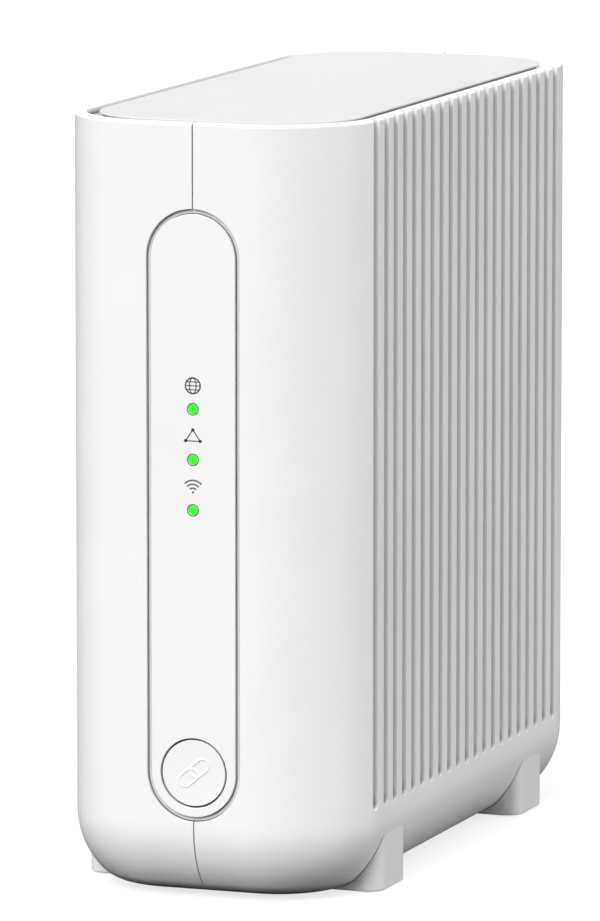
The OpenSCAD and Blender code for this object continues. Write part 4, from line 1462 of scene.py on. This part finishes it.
@dataclass
class FrontPanel:
    """Pill-shaped panel with its flange, holes for the button and the lights, and its posts."""

    set_back: float = 0.03
    edge: float = 0.14
    panel_r: float = 10.45
    hole_gap: float = 0.15
    trim_backing: float = 0.3
    flange_t: float = 1.5
    flange_lap: float = 0.01
    post_r: float = 2.2
    post_x: float = 6.0
    post_in: tuple[float, float] = (22.0, 4.0)
    trim_ease: float = 0.12
    light_count: int = 3
    lens_r: float = 1.1
    lens_dome: float = 0.04
    lamp_half: float = 0.8
    light_gap: float = 0.15
    # Width of the dark ring round each light: painted shade.
    light_shade_ring: float = 0.24
    web_back: float = 2.1
    web_half: float = 1.5
    web_t: float = 1.0
    web_corner: float = 0.5
    hidden_ease: float = 0.1
    button_r: float = 7.83
    button_gap: float = 0.45
    button_flange: float = 1.4
    button_flange_room: float = 0.35
    button_flange_at: float = 2.05
    button_flange_t: float = 1.0
    button_post_r: float = 2.4
    button_dish: float = 0.12
    link_half: tuple[float, float] = (2.6, 1.55)
    link_shift: float = 1.85
    link_tilt: float = 40.0
    link_line: tuple[float, float] = (0.6, 0.18)
    mark_up: float = 5.5
    mark_size: float = 1.85
    mark_line: float = 0.36
    ink_sink: float = 0.01
    ink: Ink = Ink("printed_grey", (0.1, 0.1, 0.103))

    def __post_init__(self) -> None:
        """Reads the sizes that the frame gives."""
        self.low, self.high = box_mm("front_panel")
        self.trim = box_mm("trim_ring")
        button_low, button_high = box_mm("pairing_button")
        self.button_z = (button_low[2] + button_high[2]) / 2
        self.face = self.low[1] + self.set_back
        led_low, led_high = box_mm("status_leds")
        ends = (led_low[2] + self.lamp_half, led_high[2] - self.lamp_half)
        self.light_z = np.linspace(*ends, self.light_count)

    def pill(self, radius: float) -> RoundRect:
        """Pill of a given radius about the panel's own spine."""
        middle = (self.trim[0][2] + self.trim[1][2]) / 2
        half = (self.trim[1][2] - self.trim[0][2]) / 2 - self.trim[1][0]
        return RoundRect(0, middle, radius, half + radius, radius, 24)

    def build(self) -> list[bpy.types.Object]:
        """Makes the panel, the trim ring, the lights, the button and the printed marks.

        Returns:
            The objects.
        """
        return [self._panel(), self._trim_ring(), self._light_guide(), self._button(), self._marks()]

    def _panel(self) -> bpy.types.Object:
        """Makes the panel: a pill, a wider flange behind it, and four posts."""
        lights = [Cutout(circle(0, z, self.lens_r + self.light_gap, 8)) for z in self.light_z]
        wall_back = self.trim[1][1] + self.trim_backing
        flange_back = wall_back + self.flange_t
        hole_r = self.button_r + self.button_gap
        counter_r = self.button_r + self.button_flange + self.button_flange_room
        hole = Cutout(circle(0, self.button_z, hole_r, 20))
        counter = Cutout(circle(0, self.button_z, counter_r, 20))
        face = self.pill(self.panel_r)
        front = Slab(face, Plane.UPRIGHT, self.face, wall_back, self.edge, (hole, *lights), 4)
        wider = self.pill(self.high[0])
        start = wall_back - self.flange_lap
        holes = (counter, *lights)
        flange = Slab(wider, Plane.UPRIGHT, start, flange_back, self.hidden_ease, holes, 1)
        skin = Skin()
        front.add_to(skin)
        flange.add_to(skin)
        back, post_r = self.high[1], self.post_r
        post = np.array([[0.0, flange_back], [post_r, flange_back], [post_r, back], [0.0, back]])
        board_low, board_high = box_mm("front_board")
        for side in (-1, 1):
            for z in (board_low[2] + self.post_in[0], board_high[2] - self.post_in[1]):
                skin.grid(turned(side * self.post_x, z, Plane.UPRIGHT, post, 24), around=True)
        return publish(skin.mesh("front_panel_pill"), Slot.CASE_WHITE, ["front_panel"])

    def _trim_ring(self) -> bpy.types.Object:
        """Makes the grey ring in the channel round the panel."""
        low, high = self.trim
        hole = Cutout(self.pill(self.panel_r + self.hole_gap))
        ring = Slab(self.pill(high[0]), Plane.UPRIGHT, low[1], high[1], self.trim_ease, (hole,), 2)
        return publish(slabs_mesh("trim_ring_band", [ring]), Slot.TRIM_GREY, ["trim_ring"])

    def _light_guide(self) -> bpy.types.Object:
        """Makes three rods with domed lenses, and the web between them.

        A lens is a shallow dome: its depth falls as the cosine of a quarter turn of the radius.
        """
        low, high = box_mm("light_guide")
        radius = self.lens_r
        angle = quarter(6)
        rise = low[1] + self.lens_dome * (1 - np.cos(angle))
        crown = np.stack([radius * np.sin(angle), rise], -1)
        profile = np.concatenate([crown, [[radius, high[1]], [0.0, high[1]]]])
        skin = Skin()
        for z in self.light_z:
            skin.grid(turned(0, z, Plane.UPRIGHT, profile, 32), around=True)
        start = self.trim[1][1] + self.web_back
        middle = (self.light_z[0] + self.light_z[-1]) / 2
        half = (self.light_z[-1] - self.light_z[0]) / 2 + self.web_half
        web = RoundRect(0, middle, self.web_half, half, self.web_corner, 3)
        Slab(web, Plane.UPRIGHT, start, start + self.web_t, self.hidden_ease).add_to(skin)
        mesh = skin.mesh("light_guide_lenses")
        return publish(mesh, Slot.LIGHT_LENS, ["light_guide"], sharp=50.0)

    def _button(self) -> bpy.types.Object:
        """Makes the pairing button with two raised links on its face.

        The face is dished by the square of the distance from its middle, and turns over at its
        edge through a quarter circle.
        """
        low, high = box_mm("pairing_button")
        face, back = low[1], high[1]
        edge, dish = self.edge, self.button_dish
        radius = self.button_r
        inner = radius - edge
        across = np.linspace(0, inner, 9)
        bowl = np.stack([across, face + dish * (1 - (across / inner) ** 2)], -1)
        angle = quarter(4)[1:]
        turn = np.stack([inner + edge * np.sin(angle), face + edge * (1 - np.cos(angle))], -1)
        flange = face + self.button_flange_at
        flange_r, post_r = radius + self.button_flange, self.button_post_r
        behind = flange + self.button_flange_t
        wide = [[radius, flange], [flange_r, flange], [flange_r, behind], [post_r, behind]]
        profile = np.concatenate([bowl, turn, wide, [[post_r, back], [0.0, back]]])
        skin = Skin()
        skin.grid(turned(0, self.button_z, Plane.UPRIGHT, profile, 72), around=True)
        tilt = math.radians(self.link_tilt)
        lean = np.array([[math.cos(tilt), -math.sin(tilt)], [math.sin(tilt), math.cos(tilt)]])
        half_len, half_wide = self.link_half
        for way in (-1, 1):
            link = RoundRect(way * self.link_shift, 0, half_len, half_wide, half_wide, 10).at()
            link = link[np.linalg.norm(link - np.roll(link, 1, 0), axis=1) > 1e-4]
            path = link @ lean.T + [0, self.button_z]
            skin.grid(stroke(path, Plane.UPRIGHT, face + dish, *self.link_line, True, 6), around=True)
        mesh = skin.mesh("pairing_button_cap")
        return publish(mesh, Slot.CASE_WHITE, ["pairing_button"], body="pairing_button")

    def _marks(self) -> bpy.types.Object:
        """Makes the printed marks: a globe, joined dots and arcs; and a dark ring round each light,
        painted shade round its gap.
        """
        skin = Skin()
        drawings = (self._globe, self._network, self._radio)
        # A dark ring just outside each light's gap: painted shade.
        ring = unit_ring(40) * (self.lens_r + self.light_gap + self.light_shade_ring / 2)
        for z, draw in zip(self.light_z[::-1], drawings):
            draw(skin, z + self.mark_up, self.mark_size, self.mark_line)
            self._line(skin, ring + [0, z], self.light_shade_ring, True)
        return publish(skin.mesh("printed_marks"), Slot.LABEL, [], finish=self.ink)

    def _line(self, skin: Skin, path: np.ndarray, width: float, closed: bool = False) -> None:
        """Adds one printed line."""
        base = self.face + self.ink_sink
        section = stroke(path, Plane.UPRIGHT, base, width, self.set_back, closed)
        add_stroke(skin, section, closed)

    def _globe(self, skin: Skin, z: float, size: float, line: float) -> None:
        """Draws a circle, an upright ellipse in it, and three level lines."""
        ring = unit_ring(48)
        thin = 0.7 * line
        self._line(skin, ring * size + [0, z], line, True)
        self._line(skin, ring * [0.45 * size, 0.98 * size] + [0, z], thin, True)
        for level in (-0.5, 0.0, 0.5):
            half = size * math.sqrt(1 - level**2)
            height = z + level * size
            self._line(skin, np.array([[-half, height], [half, height]]), thin)

    def _network(self, skin: Skin, z: float, size: float, line: float) -> None:
        """Draws three dots at a triangle's corners, joined by lines."""
        turn = np.radians([90, 210, 330])
        dots = np.stack([1.15 * size * np.cos(turn), 0.95 * size * np.sin(turn) + z - 0.2], -1)
        for first, second in zip(dots, np.roll(dots, -1, 0)):
            self._line(skin, np.stack([first, second]), 0.8 * line)
        for dot in dots:
            self._line(skin, dot + 0.2 * unit_ring(20), 0.42, True)

    def _radio(self, skin: Skin, z: float, size: float, line: float) -> None:
        """Draws three arcs above a dot."""
        foot = z - 0.75 * size
        angle = np.radians(np.linspace(135, 45, 20))
        arc = np.stack([np.cos(angle), np.sin(angle)], -1)
        for radius in (0.6, 1.1, 1.6):
            self._line(skin, radius * size * arc + [0, foot], line)
        self._line(skin, 0.14 * unit_ring(16) + [0, foot + 0.1], 0.27, True)


# ---------- Feet ----------


@dataclass
class Foot:
    """A foot: a tab with round outer corners whose top follows the rounding under the case."""

    node: str
    corner: float = 4.3
    ease: float = 0.35
    gap: float = 0.15
    pad_in: float = 2.45
    recess: float = 0.5
    pad_lap: float = 0.2
    least_corner: float = 0.5
    half_case: float = 37.5
    lower: LowerEdge = field(default_factory=lambda: LowerEdge(1.0))

    def plan(self, inset: float) -> np.ndarray:
        """Places in plan as a grid: across from the inner edge, and along between the two ends.

        The half length is full, and beyond the corners' start it shortens by the corner's arc.

        Args:
            inset: distance in from the edge.

        Returns:
            Array (across, along, 2) for a foot on the +X side, about its own middle.
        """
        low, high = box_mm(self.node)
        outer = max(abs(low[0]), abs(high[0])) - inset
        inner = min(abs(low[0]), abs(high[0])) + inset
        half = (high[1] - low[1]) / 2 - inset
        corner = max(self.corner - inset / 2, self.least_corner)
        start = outer - corner
        turn = quarter(12)
        x = np.concatenate([np.linspace(inner, start, 12)[:-1], start + corner * np.sin(turn)])
        over = np.maximum(x - start, 0)
        reach = half - corner + np.sqrt(np.maximum(corner**2 - over**2, 0))
        along = np.linspace(-1, 1, 15)
        return np.stack(np.broadcast_arrays(x[:, None], reach[:, None] * along), -1)

    def build(self) -> bpy.types.Object:
        """Makes the foot.

        Returns:
            The object.
        """
        low, high = box_mm(self.node)
        side = 1 if high[0] > 0 else -1
        middle = (low[1] + high[1]) / 2
        bottom = low[2]
        plan = self.plan(0)
        under_case = self.lower.height_at(self.half_case - plan[..., 0], self.gap)
        roof = np.minimum(under_case, high[2])
        cap = Plane.LEVEL.lift(plan, roof)
        loop = rim_of(cap)
        tight = rim_of(Plane.LEVEL.lift(self.plan(self.ease), bottom))
        skin = Skin()
        skin.grid(cap)
        bands = [loop]
        for a in quarter(3)[:0:-1]:
            share = 1 - math.sin(a)
            band = loop + (tight - loop) * share
            band[:, 2] = np.minimum(bottom + self.ease * (1 - math.cos(a)), loop[:, 2])
            bands.append(band)
        bands.append(tight)
        skin.grid(np.stack(bands, 1), around=True)
        pocket = rim_of(Plane.LEVEL.lift(self.plan(self.pad_in), bottom))
        roofed = pocket + [0, 0, self.recess - self.pad_lap]
        skin.patch(tight, pocket)
        skin.grid(np.stack([pocket, roofed], 1), around=True)
        skin.patch(roofed)
        for part in skin.points:
            part[:, 0] *= side
            part[:, 1] += middle
        mesh = skin.mesh(self.node + "_block")
        return publish(mesh, Slot.FOOT_WHITE, [self.node])


def rim_of(grid: np.ndarray) -> np.ndarray:
    """The closed line round the edge of a grid.

    Args:
        grid: array (m, n, 3).

    Returns:
        Array (2 (m + n) - 4, 3).
    """
    return np.concatenate([grid[:-1, 0], grid[-1, :-1], grid[:0:-1, -1], grid[0, :0:-1]])


@dataclass
class FootPads:
    """Rubber pads under the feet: each a low slab with a moulded tread of ribs across it."""

    inset: float = 2.6
    rib_pitch: float = 1.6
    rib_depth: float = 0.18

    def build(self, feet: Sequence[Foot]) -> bpy.types.Object:
        """Makes the four pads as one piece.

        The underside rises and falls as a raised cosine along Y, which makes the ribs.

        Args:
            feet: the feet that the pads sit in.

        Returns:
            The object.
        """
        pad_low, pad_high = box_mm("foot_pads")
        skin = Skin()
        for foot in feet:
            low, high = box_mm(foot.node)
            side = 1 if high[0] > 0 else -1
            plan = foot.plan(self.inset)
            fine = np.linspace(0, plan.shape[1] - 1, 49)
            steps = np.arange(plan.shape[1])
            rows = [[np.interp(fine, steps, row[:, axis]) for axis in (0, 1)] for row in plan]
            dense = np.stack(rows).transpose(0, 2, 1)
            ribs = self.rib_depth * (0.5 - 0.5 * np.cos(2 * np.pi * dense[..., 1] / self.rib_pitch))
            under = Plane.LEVEL.lift(dense, pad_low[2] + ribs)
            over = Plane.LEVEL.lift(dense, pad_high[2])
            under[..., 0] *= side
            over[..., 0] *= side
            middle = [0, (low[1] + high[1]) / 2, 0]
            skin.grid(under + middle)
            skin.grid(over + middle)
            skin.grid(np.stack([rim_of(under), rim_of(over)], 1) + middle, around=True)
        mesh = skin.mesh("foot_pad_treads")
        return publish(mesh, Slot.PAD_RUBBER, ["foot_pads"])


# ---------- Back ----------


@dataclass
class Back:
    """Socket panel in the rear recess, with the sockets, the inlet and the buttons in it."""

    gap: float = 0.25
    panel_ease: float = 0.22
    panel_corner: float = 0.6
    window_corner: float = 0.4
    button_gap: float = 0.35
    pinhole_r: float = 0.8
    vent_rows: int = 12
    vent_pitch: float = 9.0
    vent_up: float = 17.45
    vent_x: float = 16.0
    vent_half: tuple[float, float] = (3.5, 1.2)
    vent_corner: float = 1.15
    mouth: tuple[float, float, float] = (2.5, 9.5, 11.5)
    mouth_half: tuple[float, float] = (5.95, 3.1)
    mouth_depth: float = 13.0
    socket_corner: float = 0.5
    socket_ease: float = 0.2
    inlet_r: float = 3.15
    inlet_depth: float = 10.0
    inlet_corner: float = 0.8
    inlet_ease: float = 0.3
    pin_tip: float = 0.6
    cap_t: float = 6.2
    cap_ring: float = 0.9
    cap_edge: float = 0.4
    cap_dish: tuple[float, float] = (0.35, 0.3)
    stem_r: float = 1.3

    def build(self) -> list[bpy.types.Object]:
        """Makes every piece of the back.

        Returns:
            The objects.
        """
        sockets = [self._socket("wan_socket", Slot.WAN_PLASTIC)]
        sockets += [self._socket(f"lan_socket_{i}", Slot.LAN_PLASTIC) for i in range(1, 5)]
        return [self._panel(), *sockets, self._inlet(), self._pin(), self._power_button()]

    def _panel(self) -> bpy.types.Object:
        """Makes the panel, with windows for the sockets and the inlet, round holes, and vents."""
        low, high = box_mm("rear_panel")
        housings = [f"lan_socket_{i}" for i in range(1, 5)] + ["wan_socket", "power_inlet"]
        windows = [outline_of(node, self.window_corner, self.gap) for node in housings]
        button_low, button_high = box_mm("power_button")
        radius = (button_high[0] - button_low[0]) / 2 + self.button_gap
        windows.append(circle(0, (button_low[2] + button_high[2]) / 2, radius))
        reset_low, reset_high = box_mm("reset_pin")
        windows.append(circle(0, (reset_low[2] + reset_high[2]) / 2, self.pinhole_r, 6))
        for side in (-1, 1):
            for i in range(self.vent_rows):
                height = low[2] + self.vent_up + i * self.vent_pitch
                place = (side * self.vent_x, height)
                windows.append(RoundRect(*place, *self.vent_half, self.vent_corner, 5))
        cutouts = tuple(Cutout(window) for window in windows)
        outline = outline_of("rear_panel", self.panel_corner)
        panel = Slab(outline, Plane.UPRIGHT, high[1], low[1], self.panel_ease, cutouts, 2)
        return publish(slabs_mesh("rear_socket_panel", [panel]), Slot.PANEL_GREY, ["rear_panel"])

    def _socket(self, node: str, slot: Slot) -> bpy.types.Object:
        """Makes one network socket, with its blind mouth."""
        low, high = box_mm(node)
        floor, ledge, roof = (low[0] + step for step in self.mouth)
        mouth = PlugMouth(floor, ledge, roof, (low[2] + high[2]) / 2, *self.mouth_half)
        cut = Cutout(mouth, high[1] - self.mouth_depth)
        outline = outline_of(node, self.socket_corner)
        housing = Slab(outline, Plane.UPRIGHT, high[1], low[1], self.socket_ease, (cut,), 2)
        return publish(slabs_mesh(node + "_housing", [housing]), slot, [node])

    def _inlet(self) -> bpy.types.Object:
        """Makes the power inlet's housing, with a bore about its centre pin."""
        low, high = box_mm("power_inlet")
        pin_low, pin_high = box_mm("power_inlet_pin")
        axis = (pin_low + pin_high) / 2
        bore = Cutout(circle(axis[0], axis[2], self.inlet_r), high[1] - self.inlet_depth)
        outline = outline_of("power_inlet", self.inlet_corner, steps=4)
        housing = Slab(outline, Plane.UPRIGHT, high[1], low[1], self.inlet_ease, (bore,), 3)
        mesh = slabs_mesh("power_inlet_housing", [housing])
        return publish(mesh, Slot.BLACK_PLASTIC, ["power_inlet"])

    def _pin(self) -> bpy.types.Object:
        """Makes the inlet's centre pin, whose tip is a quarter ellipse turned about its axis."""
        low, high = box_mm("power_inlet_pin")
        middle = (low + high) / 2
        radius = (high[0] - low[0]) / 2
        angle = quarter(6)
        tip_y = high[1] - radius * self.pin_tip * (1 - np.sin(angle))
        tip = np.stack([radius * np.cos(angle), tip_y], -1)
        profile = np.concatenate([[[0.0, low[1]], [radius, low[1]]], tip])
        post = turned(middle[0], middle[2], Plane.UPRIGHT, profile, 32)
        mesh = Skin().grid(post, around=True).mesh("power_inlet_post")
        return publish(mesh, Slot.NICKEL, ["power_inlet_pin"])

    def _power_button(self) -> bpy.types.Object:
        """Makes the power button: a cap with a dished face, on its stem."""
        low, high = box_mm("power_button")
        radius = (high[0] - low[0]) / 2
        top, cap = high[1], high[1] - self.cap_t
        bowl_r, edge = radius - self.cap_ring, self.cap_edge
        sunk, rise = self.cap_dish
        across = np.linspace(0, bowl_r, 8)
        bowl = np.stack([across, top - sunk + rise * (across / bowl_r) ** 2], -1)
        angle = quarter(4)
        turn = np.stack([radius - edge + edge * np.sin(angle), top - edge + edge * np.cos(angle)], -1)
        rest = [[radius, cap], [self.stem_r, cap], [self.stem_r, low[1]], [0.0, low[1]]]
        profile = np.concatenate([bowl, turn, rest])
        button = turned(0, (low[2] + high[2]) / 2, Plane.UPRIGHT, profile, 48)
        mesh = Skin().grid(button, around=True).mesh("power_button_cap")
        return publish(mesh, Slot.BLACK_PLASTIC, ["power_button"], body="power_button")


# ---------- Pieces that keep their CAD mesh ----------


class Internals:
    """Dresses the CAD nodes that stay as they are, each in its record slot's finish."""

    SLOTS: dict[Slot, tuple[str, ...]] = {
        Slot.LAMP: ("status_leds",),
        Slot.BLACK_PLASTIC: (
            "light_shroud",
            "pairing_switch",
            "pairing_plunger",
            "reset_pin",
            "reset_switch",
        ),
        Slot.CIRCUIT_BOARD: ("front_board", "main_board", "antenna_boards"),
        Slot.FLAT_CABLE: ("front_ribbon",),
        Slot.CONTACT_GOLD: ("socket_contacts", "antenna_plugs"),
        Slot.FRAME_PLASTIC: ("board_frame", "power_switch"),
        Slot.CHIP_BLACK: (
            "processor",
            "memory_chips",
            "radio_chips",
            "socket_transformers",
            "power_coils",
        ),
        Slot.CAN_METAL: ("radio_shields", "capacitors"),
        Slot.PAD_SOFT: ("thermal_pads", "antenna_pads"),
        Slot.ALUMINIUM: ("heat_sink", "heat_spreader"),
        Slot.LEAD_BLACK: ("antenna_leads",),
        Slot.BALLAST: ("base_weight",),
        Slot.SCREW_STEEL: ("frame_screws", "case_screws"),
        Slot.LABEL: ("rating_label",),
    }

    def dress(self) -> None:
        """Puts each finish on its nodes."""
        for slot, nodes in self.SLOTS.items():
            for node in nodes:
                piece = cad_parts[node]
                if not piece.material_slots:
                    piece.data.materials.append(None)
                for holder in piece.material_slots:
                    holder.material = PAINTS.of(slot.value)
            log.info("%s on %s", slot.slot, ", ".join(nodes))


# ---------- Studio ----------


@dataclass
class Studio:
    """Camera, pale floor, and soft light."""

    azimuth: float = 20.22
    elevation: float = 8.45
    place: tuple[float, float, float] = (0.6938, -1.9015, 0.3932)
    sensor: float = 36.0
    lens: float = 505.4
    floor_size: float = 30.0
    floor_glow: float = 0.75
    floor_greys: tuple[float, float] = (0.28, 0.3)
    specks_per_metre: float = 30.0
    far_clip: float = 100.0
    horizon: tuple[float, float] = (0.02, 0.15)
    overhead: tuple[float, float] = (0.25, 0.6)
    sky_low: float = 1.22
    sky_high: float = 0.66
    lamps: tuple[tuple[str, float, float, float, float], ...] = (
        ("front_light", -9.0, 35.0, 30.0, 2.45),
        ("side_light", 120.0, 8.0, 50.0, 1.5),
        ("left_light", -75.0, 8.0, 50.0, 0.25),
    )

    def build(self) -> None:
        """Sets the whole studio up."""
        self._camera()
        self._floor()
        self._sky()
        for lamp in self.lamps:
            self._light(*lamp)
        bpy.context.scene.view_settings.view_transform = "Standard"

    def _camera(self) -> None:
        """Makes the camera at its place, tilted down by the elevation."""
        data = bpy.data.cameras.new("camera")
        data.sensor_fit = "HORIZONTAL"
        data.sensor_width = self.sensor
        data.lens = self.lens
        data.clip_end = self.far_clip
        camera = bpy.data.objects.new("camera", data)
        camera.location = self.place
        camera.rotation_euler = (math.radians(90 - self.elevation), 0, math.radians(self.azimuth))
        bpy.context.scene.collection.objects.link(camera)
        bpy.context.scene.camera = camera

    def _floor(self) -> None:
        """Makes the floor."""
        half = self.floor_size / 2
        corners = [(-half, -half, 0.0), (half, -half, 0.0), (half, half, 0.0), (-half, half, 0.0)]
        mesh = bpy.data.meshes.new("floor")
        mesh.from_pydata(corners, [], [[0, 1, 2, 3]])
        material, graph = new_material("pale_floor")
        speck = graph.noise(graph.place(), self.specks_per_metre)
        darker, lighter = ((grey,) * 3 for grey in self.floor_greys)
        graph.surface(
            {
                "Base Color": graph.tint(speck, darker, lighter),
                "Roughness": 0.9,
                "Emission Color": (1.0, 1.0, 1.0, 1.0),
                "Emission Strength": self.floor_glow,
            }
        )
        mesh.materials.append(material)
        floor = bpy.data.objects.new("floor", mesh)
        floor.visible_diffuse = False
        floor.visible_glossy = False
        bpy.context.scene.collection.objects.link(floor)

    def _sky(self) -> None:
        """Makes the sky: bright low down, softer overhead, and dark below the horizon."""
        world = bpy.data.worlds.new("sky")
        bpy.context.scene.world = world
        world.use_nodes = True
        graph = Graph(world.node_tree)
        direction = graph.node("ShaderNodeTexCoord", out="Generated")
        height = graph.node("ShaderNodeSeparateXYZ", {}, {"Vector": direction}, out=2)
        risen = graph.ramp(height, *self.horizon)
        overhead = graph.ramp(height, *self.overhead)
        level = risen * (self.sky_low - (self.sky_low - self.sky_high) * overhead)
        colour = graph.node("ShaderNodeCombineXYZ", {}, {"X": level, "Y": level, "Z": level})
        light = graph.node("ShaderNodeBackground", {}, {"Color": colour, "Strength": 1.0})
        graph.node("ShaderNodeOutputWorld", {}, {"Surface": light})

    def _light(
        self, name: str, azimuth: float, elevation: float, spread: float, strength: float
    ) -> None:
        """Makes one far soft light that shines on the router.

        Args:
            name: the light's name.
            azimuth: where it stands, from the front round towards +X, in degrees.
            elevation: its height over the horizon, in degrees.
            spread: how wide it looks from the router, in degrees.
            strength: power on each square metre that faces it, in watts.
        """
        data = bpy.data.lights.new(name, "SUN")
        data.angle = math.radians(spread)
        data.energy = strength
        light = bpy.data.objects.new(name, data)
        light.rotation_euler = (math.radians(90 - elevation), 0, math.radians(azimuth))
        bpy.context.scene.collection.objects.link(light)


def main() -> None:
    """Builds the router, piece by piece, and the studio round it."""
    logging.basicConfig(level=logging.INFO, format="%(name)s: %(message)s")
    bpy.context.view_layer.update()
    Studio().build()
    for side in (1, -1):
        CaseHalf(side).build()
    Top().build()
    FrontPanel().build()
    feet = [Foot(f"foot_{end}_{side}") for end in ("front", "rear") for side in ("left", "right")]
    for foot in feet:
        foot.build()
    FootPads().build(feet)
    Back().build()
    Internals().dress()


if __name__ == "__main__":
    main()
